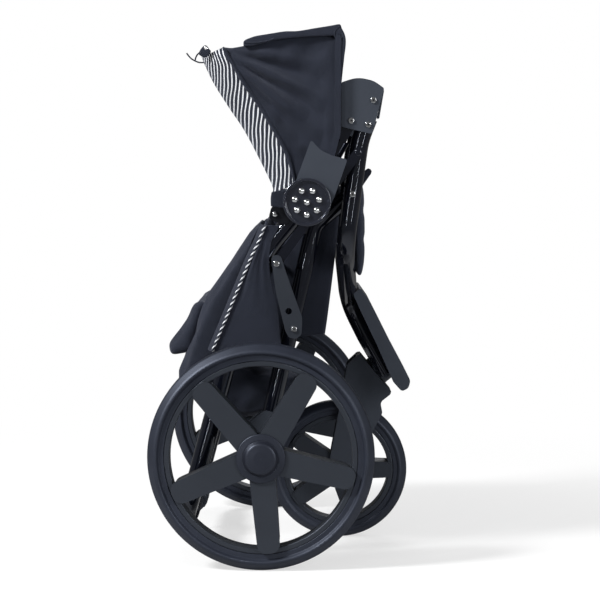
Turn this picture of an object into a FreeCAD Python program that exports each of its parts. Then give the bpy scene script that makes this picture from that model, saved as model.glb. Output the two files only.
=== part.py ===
import FreeCAD
import Part
import math
import os

# Three-wheeled baby stroller, folded flat and standing on its three wheels.
# +X is the front, +Y the stroller's left, +Z up.  Every outline below gives
# X from the rear axle and Z from the floor; axle_x carries them to the
# origin, which is under the middle of the folded stroller.

SIZES = (
    ("axle_x", -27.65, "rear axle, from the origin"),
    ("rear_radius", 152.5, "rear wheel outer radius"),
    ("rear_tyre_inner", 130.0, "rear tyre inner radius"),
    ("rear_tyre_half", 22.5, "half the rear tyre's width"),
    ("rear_track_half", 275.0, "rear wheel centre plane from the middle"),
    ("rear_axle_dia", 16.0, "rear axle tube"),
    ("rear_stub_dia", 10.0, "axle stub inside each wheel"),
    ("front_radius", 100.0, "front wheel outer radius"),
    ("front_tyre_inner", 80.0, "front tyre inner radius"),
    ("front_tyre_half", 20.0, "half the front tyre's width"),
    ("front_wheel_x", 107.0, "front axle ahead of the rear axle, folded"),
    ("front_bolt_dia", 8.0, "front axle bolt"),
    ("rim_depth", 7.5, "rim ring, radially"),
    ("rim_half", 17.0, "half the rim ring's width"),
    ("tyre_seat", 17.5, "flat side of the tyre beside the spoke tips"),
    ("spoke_face", 24.0, "outer face of the spokes from the wheel's middle"),
    ("tip_gap", 1.5, "spoke tips, in from the tyre's inner edge"),
    ("spoke_width", 30.0, "rear spoke, at its tip"),
    ("rear_hub_dia", 62.0, "rear wheel hub"),
    ("front_spoke_width", 23.0, "front spoke, at its tip"),
    ("front_hub_dia", 40.0, "front wheel hub"),
    ("leg_dia", 25.0, "front leg and handle tubes"),
    ("leg_y", 205.0, "front leg and handle tube centre plane"),
    ("leg_foot_y", 50.0, "front leg centre plane at the caster"),
    ("rear_leg_dia", 24.0, "rear leg tubes"),
    ("rear_leg_y", 175.0, "rear leg centre plane"),
    ("tube_wall", 1.5, "wall of every frame tube"),
    ("bolt_dia", 8.0, "fold pivots"),
    ("screw_head_dia", 8.4, "bright screw heads"),
    ("screw_head", 2.6, "height of the screw heads"),
    ("pivot_fit", 0.05, "radial running clearance"),
    ("gap", 0.3, "clearance between moving faces"),
    ("seat_fit", 0.02, "hair clearance of seated pieces"),
    ("bite", 2.0, "studs and bosses into the tube that holds them"),
    ("bar_inset", 62.0, "handlebar's bends, in from the handle tubes"),
    ("grip_inset", 40.0, "foam grip's ends, in from the handle tubes"),
    ("rail_in_y", 219.0, "inner face of the seat rails"),
    ("rail_thick", 7.0, "seat rail"),
    ("link_in_y", 227.5, "inner face of the fold links"),
    ("link_thick", 6.0, "fold link"),
    ("cheek_thick", 5.0, "fold bracket cheeks"),
    ("hub_plate_in_y", 235.0, "inner face of the canopy hub plates"),
    ("hub_plate_thick", 8.0, "canopy hub plate"),
    ("hub_disc_thick", 9.0, "round hub cover"),
    ("hub_disc_dia", 65.0, "round hub cover"),
    ("rod_dia", 8.0, "seat cross rods"),
    ("grip_dia", 32.0, "foam grip"),
    ("seat_half", 156.2, "half the seat pan's width"),
    ("cord_dia", 2.0, "elastic cord at the canopy's rear corner"),
    ("skirt_side", 3.0, "seat skirt's fabric sides and front"),
    ("low_back_gap", 8.0, "lower back and calf panel, clear of the rear legs"),
    ("footrest_half", 100.0, "half the footrest's width"),
    ("footrest_wall", 5.0, "footrest shell"),
    ("fork_gap_half", 24.5, "front wheel to the inside of the fork"),
    ("fork_thick", 6.0, "fork arms"),
    ("crown_thick", 8.0, "fork crown"),
    ("stem_dia", 12.0, "caster swivel stem"),
    ("housing_dia", 44.0, "caster housing"),
    ("housing_height", 30.0, "caster housing"),
    ("canopy_in_y", 226.8, "inside of the canopy's side panels"),
    ("canopy_side", 2.6, "canopy side panel"),
    ("canopy_wall", 8.0, "canopy roof and rear wall"),
    ("bow_in_y", 230.0, "inner face of the canopy's front bow"),
    ("bow_thick", 4.0, "canopy front bow"),
    ("pedal_width", 62.0, "brake pedal"),
)

# Fold pivots, X from the rear axle and Z from the floor.
REAR_AXLE = (0.0, 152.5)
LEG_PIVOT = (123.5, 503.8)
HANDLE_PIVOT = (121.4, 603.3)
RAIL_PIVOT = (130.6, 560.0)
OPEN_PIVOT = (20.2, 409.7)
LINK_PIVOT = (43.8, 320.9)
HUB = (61.4, 493.0)
STRAP_SCREW = (17.9, 476.6)
BRAKE = (-26.0, 168.0)
GRIP = (-105.0, 60.0)
REAR_ROD = OPEN_PIVOT
FRONT_ROD = (100.0, 518.5)
SEAT_UNDER = 6.0
SWIVEL_FOOT = (161.4, 242.3)
SWIVEL_TILT = 39.5
SPOKES = 5
CROSS_TUBE = (16.8, 224.0)
LINK_RECESS = (36.6, 345.0)
BRACKET_SCREWS = ((151.4, 631.0), (144.5, 598.0))
CORD_ROUTE = ((-102.6, 695.4), (-98.4, 689.2), (-92.0, 685.2), (-86.0, 682.8), (-79.8, 682.9))
CORD_SIDE = -200.0
CORD_EASE = 0.45
STUDS = 7
STUD_CIRCLE = 17.0
STUD_TURN = 12.0

# Shares of a tyre's depth, from its inner edge out.
TYRE_LIP = 0.295
TYRE_FLANK = 0.46
TYRE_SHOULDER = 0.62
# Widening of a spoke from its tip to its root.
SPOKE_ROOT = 1.17

doc = FreeCAD.newDocument("Stroller")
sheet = doc.addObject("Spreadsheet::Sheet", "Sizes")
NODES = []


def fill_sheet():
    """Write the driving dimensions with their names and meanings."""
    for row, (alias, value, meaning) in enumerate(SIZES, start=1):
        sheet.set("A%d" % row, alias)
        sheet.set("B%d" % row, str(value))
        sheet.setAlias("B%d" % row, alias)
        sheet.set("C%d" % row, meaning)
    doc.recompute()


def size(alias):
    return float(sheet.get(alias))


def bind(thing, **expressions):
    """Bind properties of an object to expressions of the sheet's names."""
    for name, expression in expressions.items():
        thing.setExpression(name, expression)
    return thing


def point(x, y, z):
    """A place given from the rear axle, in the part's own frame."""
    return FreeCAD.Vector(x + size("axle_x"), y, z)


def node(label, thing):
    """Register a finished sub-part under its file name."""
    thing.Label = label
    if thing.Label != label:
        raise ValueError("the name %s is already taken" % label)
    NODES.append(thing)
    return thing


def polar(centre, radius, degrees):
    angle = math.radians(degrees)
    return (centre[0] + radius * math.cos(angle), centre[1] + radius * math.sin(angle))


def inside_legs():
    """Half the width of the fabric that hangs between the rear legs."""
    return size("rear_leg_y") - size("rear_leg_dia") / 2 - size("low_back_gap")


# ---- building blocks ------------------------------------------------------


def rounded(points, radius, closed=True):
    """Edges of an outline whose corners are rounded; radius is one value or one per point."""
    count = len(points)
    radii = radius if isinstance(radius, (list, tuple)) else [radius] * count
    corners = range(count) if closed else range(1, count - 1)
    entry = {}
    leave = {}
    arcs = {}
    for index in range(count):
        entry[index] = leave[index] = points[index]
    for index in corners:
        here = points[index]
        before = (points[index - 1] - here)
        after = (points[(index + 1) % count] - here)
        turn = math.pi - before.getAngle(after)
        if radii[index] <= 0 or turn < 0.01:
            continue
        reach = radii[index] * math.tan(turn / 2)
        reach = min(reach, 0.49 * before.Length, 0.49 * after.Length)
        before.normalize()
        after.normalize()
        real_radius = reach / math.tan(turn / 2)
        middle = (before + after)
        middle.normalize()
        depth = real_radius / math.cos(turn / 2) - real_radius
        entry[index] = here + before * reach
        leave[index] = here + after * reach
        arcs[index] = Part.Arc(entry[index], here + middle * depth, leave[index])
    edges = []
    for index in range(count):
        if index in arcs:
            edges.append(arcs[index])
        if index == count - 1 and not closed:
            break
        start = leave[index]
        stop = entry[(index + 1) % count]
        if start.distanceToPoint(stop) > 1e-6:
            edges.append(Part.LineSegment(start, stop))
    return edges


def origin_plane(body, role):
    return next(item for item in body.Origin.OriginFeatures if item.Role == role)


def new_sketch(body, name, role, offset=0.0):
    """A sketch on one of the body's own origin planes, moved along its normal."""
    made = body.newObject("Sketcher::SketchObject", name)
    made.AttachmentSupport = [(origin_plane(body, role), "")]
    made.MapMode = "FlatFace"
    made.AttachmentOffset = FreeCAD.Placement(FreeCAD.Vector(0, 0, offset), FreeCAD.Rotation())
    return made


def side_plate(label, outline, corner, inner_y, depth, holes=()):
    """A plate seen from the side: outline in X and Z, padded from inner_y towards -Y."""
    body = doc.addObject("PartDesign::Body", label)
    made = new_sketch(body, label + "_outline", "XZ_Plane", inner_y)
    shift = size("axle_x")
    flat = [FreeCAD.Vector(x + shift, z, 0) for x, z in outline]
    made.addGeometry(rounded(flat, corner))
    for (x, z), radius in holes:
        centre = FreeCAD.Vector(x + shift, z, 0)
        made.addGeometry(Part.Circle(centre, FreeCAD.Vector(0, 0, 1), radius))
    pad = body.newObject("PartDesign::Pad", label + "_pad")
    pad.Profile = made
    if isinstance(depth, str):
        bind(pad, Length=depth)
    else:
        pad.Length = depth
    body.Tip = pad
    return body


def pocket(body, outline, corner, start_y, depth):
    """Cut an outline out of a side plate, from start_y towards -Y."""
    made = new_sketch(body, body.Label + "_hollow", "XZ_Plane", start_y)
    shift = size("axle_x")
    flat = [FreeCAD.Vector(x + shift, z, 0) for x, z in outline]
    made.addGeometry(rounded(flat, corner))
    doc.recompute()
    before = body.Shape.Volume
    cut = body.newObject("PartDesign::Pocket", body.Label + "_pocket")
    cut.Profile = made
    cut.Length = depth
    cut.Reversed = True
    body.Tip = cut
    doc.recompute()
    if body.Shape.Volume > before - 1.0:
        raise ValueError(body.Label + ": the pocket cut nothing")
    return body


def rod(label, place, inner_y, outer_y, dia):
    """A round bar along Y at place, from inner_y out to outer_y on the -Y side."""
    made = doc.addObject("Part::Cylinder", label)
    bind(made, Radius="(" + dia + ") / 2")
    made.Height = outer_y - inner_y
    turn = FreeCAD.Rotation(FreeCAD.Vector(1, 0, 0), 90)
    made.Placement = FreeCAD.Placement(point(place[0], -inner_y, place[1]), turn)
    return made


def screw(label, place, inner_y, outer_y, shank):
    """A screw or bolt along Y: shank from inner_y to outer_y, domed head outside."""
    made_shank = rod(label + "_shank", place, inner_y, outer_y, shank)
    head = rod(label + "_head", place, outer_y, outer_y + size("screw_head"), "Sizes.screw_head_dia")
    fused = fuse(label + "_whole", [made_shank, head])
    rounding = doc.addObject("Part::Fillet", label)
    doc.recompute()
    rounding.Base = fused
    edges = [index for index, edge in enumerate(fused.Shape.Edges, start=1)
             if abs(edge.BoundBox.YMin + outer_y + size("screw_head")) < 0.01
             and edge.BoundBox.YLength < 0.01]
    rounding.Edges = [(index, 1.2, 1.2) for index in edges]
    return rounding


def fuse(label, things):
    made = doc.addObject("Part::MultiFuse", label)
    made.Shapes = things
    return made


def cut(label, base, tool):
    made = doc.addObject("Part::Cut", label)
    made.Base = base
    made.Tool = tool
    return made


def group(label, things):
    """Separate solids kept together under one name."""
    made = doc.addObject("Part::Compound", label)
    made.Links = things
    return made


def mirror(label, thing):
    """The same piece on the other side of the stroller."""
    made = doc.addObject("Part::Mirroring", label)
    made.Source = thing
    made.Normal = FreeCAD.Vector(0, 1, 0)
    made.Base = FreeCAD.Vector(0, 0, 0)
    return made


def both_sides(label, thing):
    """A right piece and its mirrored left twin, as two nodes."""
    node(label + "_right", thing)
    node(label + "_left", mirror(label + "_twin", thing))
    return thing


def pair(label, thing):
    """A right piece and its mirrored left twin, as one node of two solids."""
    thing.Label = label + "_one"
    return node(label, group(label, [thing, mirror(label + "_two", thing)]))


def sweep(label, path, radius):
    """A round section carried along a path."""
    line = doc.addObject("Part::Feature", label + "_path")
    line.Shape = path
    start = path.Edges[0]
    tangent = start.tangentAt(start.FirstParameter)
    ring = doc.addObject("Part::Circle", label + "_ring")
    bind(ring, Radius=radius)
    turn = FreeCAD.Rotation(FreeCAD.Vector(0, 0, 1), tangent)
    ring.Placement = FreeCAD.Placement(start.valueAt(start.FirstParameter), turn)
    made = doc.addObject("Part::Sweep", label + "_sweep")
    made.Sections = [ring]
    made.Spine = (line, ["Edge%d" % (index + 1) for index in range(len(path.Edges))])
    made.Solid = True
    made.Frenet = False
    return made


def path_of(places, bends):
    """A wire through the given places, its corners bent to the given radii."""
    edges = rounded([point(*place) for place in places], bends, closed=False)
    return Part.Wire([edge.toShape() for edge in edges])


def tube(label, places, bends, outer, wall="Sizes.tube_wall"):
    """A bent round tube with an even wall; Base of the result is its solid outside."""
    path = path_of(places, bends)
    skin = sweep(label + "_outside", path, "(" + outer + ") / 2")
    bore = sweep(label + "_bore", path, "(" + outer + ") / 2 - " + wall)
    return cut(label, skin, bore)


def wheel_ring(label, radius, inner, half, seat):
    """A tyre: a rounded section with flat inner sides, turned about Y."""
    body = doc.addObject("PartDesign::Body", label)
    profile = new_sketch(body, label + "_section", "YZ_Plane")
    depth = radius - inner
    lip = inner + TYRE_LIP * depth
    flank = inner + TYRE_FLANK * depth
    shoulder = inner + TYRE_SHOULDER * depth
    crown = TYRE_LIP * depth
    section = [(-seat, inner), (-seat, lip), (-half, flank), (-half + 1.5, shoulder),
               (-0.55 * half, radius), (0.55 * half, radius), (half - 1.5, shoulder),
               (half, flank), (seat, lip), (seat, inner)]
    profile.addGeometry(rounded([FreeCAD.Vector(y, r, 0) for y, r in section],
                                [0.8, 1, 3, crown, crown, crown, crown, 3, 1, 0.8]))
    turned = body.newObject("PartDesign::Revolution", label + "_turned")
    turned.Profile = profile
    turned.ReferenceAxis = (profile, ["H_Axis"])
    turned.Angle = 360
    doc.recompute()
    groove = new_sketch(body, label + "_groove_section", "YZ_Plane")
    for side in (-1, 1):
        for y in (0.16 * half, 0.48 * half):
            box = [(side * y - 0.9, radius - 1.6), (side * y + 0.9, radius - 1.6),
                   (side * y + 0.9, radius + 1), (side * y - 0.9, radius + 1)]
            groove.addGeometry(rounded([FreeCAD.Vector(a, b, 0) for a, b in box], 0))
    cutting = body.newObject("PartDesign::Groove", label + "_grooves")
    cutting.Profile = groove
    cutting.ReferenceAxis = (groove, ["H_Axis"])
    cutting.Angle = 360
    body.Tip = cutting
    return body


def turned_part(body, name, section, corner):
    """Add a turned solid about Y to a body; section gives (Y, radius) corners."""
    profile = new_sketch(body, name + "_section", "YZ_Plane")
    profile.addGeometry(rounded([FreeCAD.Vector(y, r, 0) for y, r in section], corner))
    turned = body.newObject("PartDesign::Revolution", name)
    turned.Profile = profile
    turned.ReferenceAxis = (profile, ["H_Axis"])
    turned.Angle = 360
    body.Tip = turned
    doc.recompute()
    return turned


def spoke_sketch(body, name, inner, tip, width, offset, degrees):
    """A round-ended spoke outline, turned to its angle."""
    made = new_sketch(body, name, "XZ_Plane", offset)
    turn = FreeCAD.Rotation(FreeCAD.Vector(0, 0, 1), degrees)
    root = SPOKE_ROOT * width / 2
    corners = [(inner, -root), (tip, -width / 2), (tip, width / 2), (inner, root)]
    flat = [turn.multVec(FreeCAD.Vector(x, y, 0)) for x, y in corners]
    made.addGeometry(rounded(flat, [0, 0.42 * width, 0.42 * width, 0]))
    return made


def spoked_rim(label, rim_out, hub_dia, bore, width, faces, tips, first):
    """Rim ring, hub and spokes in one moulding; faces and tips give the spokes' Y spans."""
    body = doc.addObject("PartDesign::Body", label)
    ring_in = rim_out - size("rim_depth")
    half = size("rim_half")
    turned_part(body, label + "_ring", [(-half, ring_in), (-half, rim_out), (half, rim_out),
                                        (half, ring_in)], 1.5)
    hub_in, hub_out = faces
    turned_part(body, label + "_hub", [(-hub_out, bore), (-hub_out, hub_dia / 2),
                                       (hub_in, hub_dia / 2), (hub_in, bore)], [0, 2, 2, 0])
    pads = []
    spans = [(min(hub_in, half) * -1, hub_out, ring_in + 2, "web")]
    spans += [(start, stop, rim_out - size("tip_gap"), "tip%d" % index)
              for index, (start, stop) in enumerate(tips)]
    for start, stop, reach, name in spans:
        flat = spoke_sketch(body, label + "_" + name, hub_dia / 2 - 3, reach, width, start, first)
        pad = body.newObject("PartDesign::Pad", label + "_" + name + "_pad")
        pad.Profile = flat
        pad.Length = stop - start
        body.Tip = pad
        pads.append(pad)
        doc.recompute()
    around = body.newObject("PartDesign::PolarPattern", label + "_spokes")
    around.Originals = pads
    around.Axis = (flat, ["N_Axis"])
    around.Angle = 360
    around.Occurrences = SPOKES
    body.Tip = around
    doc.recompute()
    return body


def move(thing, x, y, z):
    thing.Placement = FreeCAD.Placement(point(x, y, z), FreeCAD.Rotation())
    return thing


# ---- rear axle and wheels -------------------------------------------------


def rear_axle():
    """Axle tube between the legs with a thinner stub through each wheel."""
    inner = size("rear_track_half") - size("rear_tyre_half") - 2
    end = size("rear_track_half") + size("spoke_face") + 1
    bar = rod("axle_bar", REAR_AXLE, -inner, inner, "Sizes.rear_axle_dia")
    stub = rod("axle_stubs", REAR_AXLE, -end, end, "Sizes.rear_stub_dia")
    node("rear_axle", fuse("rear_axle", [bar, stub]))


def rear_wheels():
    """Tyre, spoked rim and hub cap of the right wheel, mirrored to the left."""
    inner = size("rear_tyre_inner")
    plane = -size("rear_track_half")
    tyre = wheel_ring("rear_tyre", size("rear_radius"), inner, size("rear_tyre_half"),
                      size("tyre_seat"))
    face = size("spoke_face")
    bore = size("rear_stub_dia") / 2 + size("pivot_fit")
    rim = spoked_rim("rear_rim", inner, size("rear_hub_dia"), bore, size("spoke_width"),
                     (16.0, face), [(size("rim_half") - 1, face)], -13.0)
    cap = doc.addObject("PartDesign::Body", "rear_hub_cap")
    out = face + size("seat_fit")
    cap_radius = size("rear_hub_dia") / 2 + 2
    turned_part(cap, "rear_cap_shell",
                [(-out, 0), (-out, cap_radius), (-out - 3, cap_radius), (-out - 4.5, 25), (-out - 4, 24),
                 (-out - 9.5, 20), (-out - 11, 10), (-out - 11.2, 0)], [0, 0.6, 1.5, 0.5, 0.5, 5, 8, 0])
    recess = new_sketch(cap, "rear_cap_recess", "XZ_Plane", out)
    recess.addGeometry(Part.Circle(FreeCAD.Vector(0, 0, 0), FreeCAD.Vector(0, 0, 1), 7))
    hollow = cap.newObject("PartDesign::Pocket", "rear_cap_hollow")
    hollow.Profile = recess
    hollow.Length = 5
    hollow.Reversed = True
    cap.Tip = hollow
    for label, body in (("rear_tyre", tyre), ("rear_rim", rim), ("rear_hub_cap", cap)):
        move(body, REAR_AXLE[0], plane, REAR_AXLE[1])
        both_sides(label, body)


def brake():
    """Foot pedal on a cross shaft behind the axle, with a pawl beside each wheel."""
    end = size("rear_track_half") - size("rear_tyre_half") - 3
    bar = rod("brake_bar", BRAKE, -end, end, "Sizes.rod_dia")
    near = rod("brake_pawl", BRAKE, end - 6, end, "2 * Sizes.rod_dia")
    node("brake_shaft", fuse("brake_shaft", [bar, near, mirror("brake_pawl_far", near)]))
    pedal = side_plate("brake_foot", [(-30, 160), (-60, 173), (-61, 179), (-30, 176), (-18, 176),
                                      (-18, 160)], 2, -size("pedal_width") / 2, "Sizes.pedal_width",
                       [(BRAKE, size("rod_dia") / 2)])
    node("brake_pedal", pedal)


# ---- rear legs and links --------------------------------------------------


def rear_legs():
    """Two bent tubes from the axle sockets up to the leg pivots, and their cross tube."""
    y = -size("rear_leg_y")
    foot = (4.0, y, 170.0)
    leg = tube("rear_leg_tube", [foot, (72.0, y, 462.0), (116.0, y, 497.7)], [0, 30, 0],
               "Sizes.rear_leg_dia")
    half = size("rear_leg_dia") / 2
    eye = rod("rear_leg_eye", LEG_PIVOT, size("rear_leg_y") - half, size("rear_leg_y") + half,
              "Sizes.rear_leg_dia")
    hole = rod("rear_leg_hole", LEG_PIVOT, size("rear_leg_y") - half - 1,
               size("rear_leg_y") + half + 1, "Sizes.bolt_dia + 2 * Sizes.pivot_fit")
    end = cut("rear_leg_end", fuse("rear_leg_whole", [leg, eye]), hole)
    both_sides("rear_leg", end)
    inner = size("rear_leg_y") - half - 2
    bore = size("rear_axle_dia") / 2 + size("pivot_fit")
    shaft = size("rod_dia") / 2 + size("pivot_fit")
    socket = side_plate("socket_block", [(-34, 160), (-32, 178), (3, 205), (25, 200), (15, 138), (-14, 138)],
                        [7, 7, 12, 6, 12, 12], inner, 2 * half + 4, [(REAR_AXLE, bore), (BRAKE, shaft)])
    seat = sweep("socket_seat", path_of([foot, (72.0, y, 462.0)], [0, 0]), "Sizes.rear_leg_dia / 2")
    both_sides("leg_socket", cut("leg_socket", socket, seat))
    across = size("rear_leg_y") - half + 1.0
    node("rear_cross_tube", cut("rear_cross_tube",
                                rod("cross_skin", CROSS_TUBE, -across, across, "Sizes.rear_leg_dia - 4"),
                                rod("cross_bore", CROSS_TUBE, -across, across, "Sizes.rear_leg_dia - 7")))


def leg_bolts():
    """Bolts through the front and rear legs; the heads are the bright screws."""
    inner = size("rear_leg_y") - size("rear_leg_dia") / 2 - 1
    outer = size("leg_y") + size("leg_dia") / 2 + size("seat_fit")
    pair("leg_pivot_bolts", screw("leg_bolt", LEG_PIVOT, inner, outer, "Sizes.bolt_dia"))


def links():
    """Long links from the rear legs to the open pivot at the seat rails."""
    inner = size("link_in_y")
    outer = inner + size("link_thick")
    fit = size("bolt_dia") / 2 + size("pivot_fit")
    outline = [(12.5, 421), (25.5, 421), (34, 395), (55, 336), (54, 313), (47, 307.5), (37, 309),
               (32, 318), (19, 372)]
    link = side_plate("link_bar", outline, [6, 6, 30, 18, 6, 6, 6, 18, 30], inner,
                      "Sizes.link_thick",
                      [(LINK_PIVOT, fit), (LINK_RECESS, 4.5), (OPEN_PIVOT, size("bolt_dia") / 2)])
    both_sides("fold_link", link)
    pair("link_top_screws", screw("link_top", OPEN_PIVOT, inner, outer + size("seat_fit"), "Sizes.bolt_dia"))
    stud_in = size("rear_leg_y") + size("rear_leg_dia") / 2 - size("bite")
    pair("link_studs", screw("link_stud", LINK_PIVOT, stud_in, outer + size("gap"), "Sizes.bolt_dia"))


# ---- front frame ----------------------------------------------------------


def front_legs():
    """Tubes from the fold brackets down, bent forward and in to the caster housing."""
    side = -size("leg_y")
    foot = -size("leg_foot_y")
    places = [(145.2, side, 606.8), (133.6, side, 577.0), (123.5, side, 503.8), (113.5, side, 432.0),
              (122.0, foot, 345.0), (146.0, foot, 297.0), (176.5, foot, 244.5)]
    leg = tube("front_leg_tube", places, [0, 120, 300, 60, 60, 160, 0], "Sizes.leg_dia")
    both_sides("front_leg", leg)
    return [leg.Base, mirror("front_leg_outside_twin", leg.Base)]


def fold_brackets():
    """Two cheeks that grip the leg and carry the handle pivot, with a closed back."""
    outline = [(108, 595), (108, 655), (130, 662), (152, 657), (166, 647), (150, 585)]
    half = size("leg_dia") / 2
    thick = size("cheek_thick")
    fit = size("bolt_dia") / 2
    inner_y = size("leg_y") - half - size("gap") - thick
    outer_y = size("leg_y") + half + size("gap")
    holes = [(HANDLE_PIVOT, fit)]
    near = side_plate("cheek_out", outline, [4, 3, 40, 30, 3, 4], outer_y, "Sizes.cheek_thick", holes)
    far = side_plate("cheek_in", outline, [4, 3, 40, 30, 3, 4], inner_y, "Sizes.cheek_thick", holes)
    back = side_plate("bracket_back", [(161, 625), (156.5, 607), (159.5, 606), (166, 644), (163, 646)],
                      0.8, inner_y + thick, 2 * half + 2 * size("gap"))
    both_sides("fold_bracket", fuse("bracket_whole", [near, far, back]))
    head_y = outer_y + thick + size("seat_fit")
    screws = [screw("bracket_screw_a", BRACKET_SCREWS[0], outer_y + 1, head_y, "Sizes.bolt_dia / 2"),
              screw("bracket_screw_b", BRACKET_SCREWS[1], size("leg_y"), head_y, "Sizes.bolt_dia / 2"),
              rail_stud()]
    twins = [mirror(item.Label + "_twin", item) for item in screws]
    node("bracket_screws", group("bracket_screws", screws + twins))
    pair("handle_pivot_bolts", screw("handle_bolt", HANDLE_PIVOT, inner_y, head_y, "Sizes.bolt_dia"))


def rail_stud():
    """Stud from the front leg out through the seat rail."""
    inner = size("leg_y") + size("leg_dia") / 2 - size("bite")
    outer = size("rail_in_y") + size("rail_thick") + 0.1
    return rod("rail_stud", RAIL_PIVOT, inner, outer, "Sizes.bolt_dia")


FOOTREST_TOP = [(126.5, 361.5), (137, 369.5), (150.5, 350.5), (164, 324), (184, 284), (208.5, 238),
                (205.5, 227), (196, 222.5)]


def footrest(seated):
    """A moulded tray over the feet of the legs, hollowed round the pieces seated in it."""
    outline = FOOTREST_TOP + [(184, 236), (160, 290), (137, 338)]
    half = size("footrest_half")
    wall = size("footrest_wall")
    tray = side_plate("footrest_tray", outline, [4, 3, 3, 40, 40, 10, 8, 5, 2, 20, 3], -half, 2 * half)
    hollow = [(133, 346), (138.5, 347.5), (148.5, 321), (165.5, 286), (187.5, 244), (176, 226),
              (148, 290), (122, 338)]
    pocket(tray, hollow, 2, -half + wall, 2 * half - 2 * wall)
    node("footrest", cut("footrest", tray, fuse("footrest_seats", seated)))


def swivel_point(along, across=0.0):
    """A place along the swivel axis from the top of the fork's crown."""
    x, z = polar(SWIVEL_FOOT, along, SWIVEL_TILT)
    return polar((x, z), across, SWIVEL_TILT - 90)


def tilted(label, along, radius, height):
    """A round piece on the swivel axis."""
    made = doc.addObject("Part::Cylinder", label)
    bind(made, Radius=radius)
    if isinstance(height, str):
        bind(made, Height=height)
    else:
        made.Height = height
    x, z = swivel_point(along)
    turn = FreeCAD.Rotation(FreeCAD.Vector(0, 1, 0), 90 - SWIVEL_TILT)
    made.Placement = FreeCAD.Placement(point(x, 0, z), turn)
    return made


def caster_housing():
    """Barrel for the swivel stem with wings into both leg ends."""
    gap = size("gap") + 0.7
    barrel = tilted("housing_barrel", gap, "Sizes.housing_dia / 2", size("housing_height") - gap)
    wing = side_plate("housing_wing", [swivel_point(6, -17), swivel_point(26, -17),
                                       swivel_point(26, 13), swivel_point(6, 13)], 4,
                      -size("leg_foot_y") + 2, 2 * size("leg_foot_y") - 4)
    bore = tilted("housing_bore", 0, "Sizes.stem_dia / 2 + Sizes.pivot_fit", size("housing_height") - 6)
    legs = [sweep("housing_seat_%d" % index, path_of([(146.0, side, 297.0), (176.5, side, 244.5)], [0, 0]),
                  "Sizes.leg_dia / 2")
            for index, side in enumerate((-size("leg_foot_y"), size("leg_foot_y")))]
    tool = fuse("housing_tools", [bore] + legs)
    whole = fuse("housing_whole", [barrel, wing])
    node("caster_housing", cut("caster_housing", whole, tool))
    return whole


def calf_panel(legs):
    """Padded fabric panel between the front legs, below the seat's front edge."""
    outline = [(125, 526), (137, 527), (141, 470), (141.5, 420), (138, 385), (129, 385), (127.5, 430),
               (127, 480)]
    half = inside_legs()
    panel = side_plate("calf_pad", outline, 3, -half, 2 * half)
    node("calf_panel", cut("calf_panel", panel, fuse("calf_seats", legs)))


def leg_straps():
    """Webbing tabs that tie the calf panel to the legs, free ends standing up."""
    outline = [(127, 505), (135, 508.5), (142.5, 519.5), (153.5, 535), (146.5, 542), (138.5, 533),
               (131, 521)]
    pair("leg_straps", side_plate("leg_strap", outline, 1.5, inside_legs() + size("gap"), 7))


# ---- caster ---------------------------------------------------------------


def caster_fork():
    """A crown plate across the swivel axis with an arm down each side of the wheel."""
    inner = size("fork_gap_half")
    thick = size("fork_thick")
    bolt = size("front_bolt_dia") / 2
    wheel = (size("front_wheel_x"), size("front_radius"))
    crown_top = [swivel_point(0, -37.5), swivel_point(0, 37.5)]
    low_right = swivel_point(-22, 37)
    arm = [crown_top[0], crown_top[1], low_right, (171, 184), (124, 94), (112, 84), (98, 85),
           (92, 95), (93, 108), swivel_point(-24, -36)]
    corner = [5, 5, 8, 8, 20, 12, 12, 12, 20, 8]
    near = side_plate("fork_arm", arm, corner, inner, "Sizes.fork_thick", [(wheel, bolt)])
    far = mirror("fork_arm_twin", near)
    crown_low = size("crown_thick")
    crown = side_plate("fork_crown", [swivel_point(0, -36), swivel_point(0, 36),
                                      swivel_point(-crown_low, 36), swivel_point(-crown_low, -36)],
                       1.5, -inner - thick / 2, 2 * inner + thick)
    stem = tilted("fork_socket", -crown_low, "Sizes.stem_dia / 2", size("crown_thick"))
    node("caster_fork", cut("caster_fork", fuse("fork_whole", [near, far, crown]), stem))


def swivel_stem():
    top = size("housing_height") - 7
    node("swivel_stem", tilted("swivel_stem", -size("crown_thick"), "Sizes.stem_dia / 2",
                               size("crown_thick") + top))


def front_wheel():
    """Tyre and spoked rim of the front wheel, and its bolt through the fork."""
    inner = size("front_tyre_inner")
    centre = (size("front_wheel_x"), size("front_radius"))
    seat = size("tyre_seat")
    tyre = wheel_ring("front_tyre", size("front_radius"), inner, size("front_tyre_half"), seat)
    face = size("fork_gap_half") - 1.0
    bore = size("front_bolt_dia") / 2 + size("pivot_fit")
    rim = spoked_rim("front_rim", inner, size("front_hub_dia"), bore, size("front_spoke_width"),
                     (face, face), [(-seat - 4, -seat + 1.5), (seat - 1.5, seat + 4)], 0.0)
    for body in (tyre, rim):
        node(body.Label, move(body, centre[0], 0, centre[1]))
    outer = size("fork_gap_half") + size("fork_thick")
    half_bolt = screw("front_bolt_half", centre, 0, outer + size("seat_fit"), "Sizes.front_bolt_dia")
    node("front_axle_bolt", fuse("front_axle_bolt", [half_bolt, mirror("front_bolt_far", half_bolt)]))


# ---- handle ---------------------------------------------------------------


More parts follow.
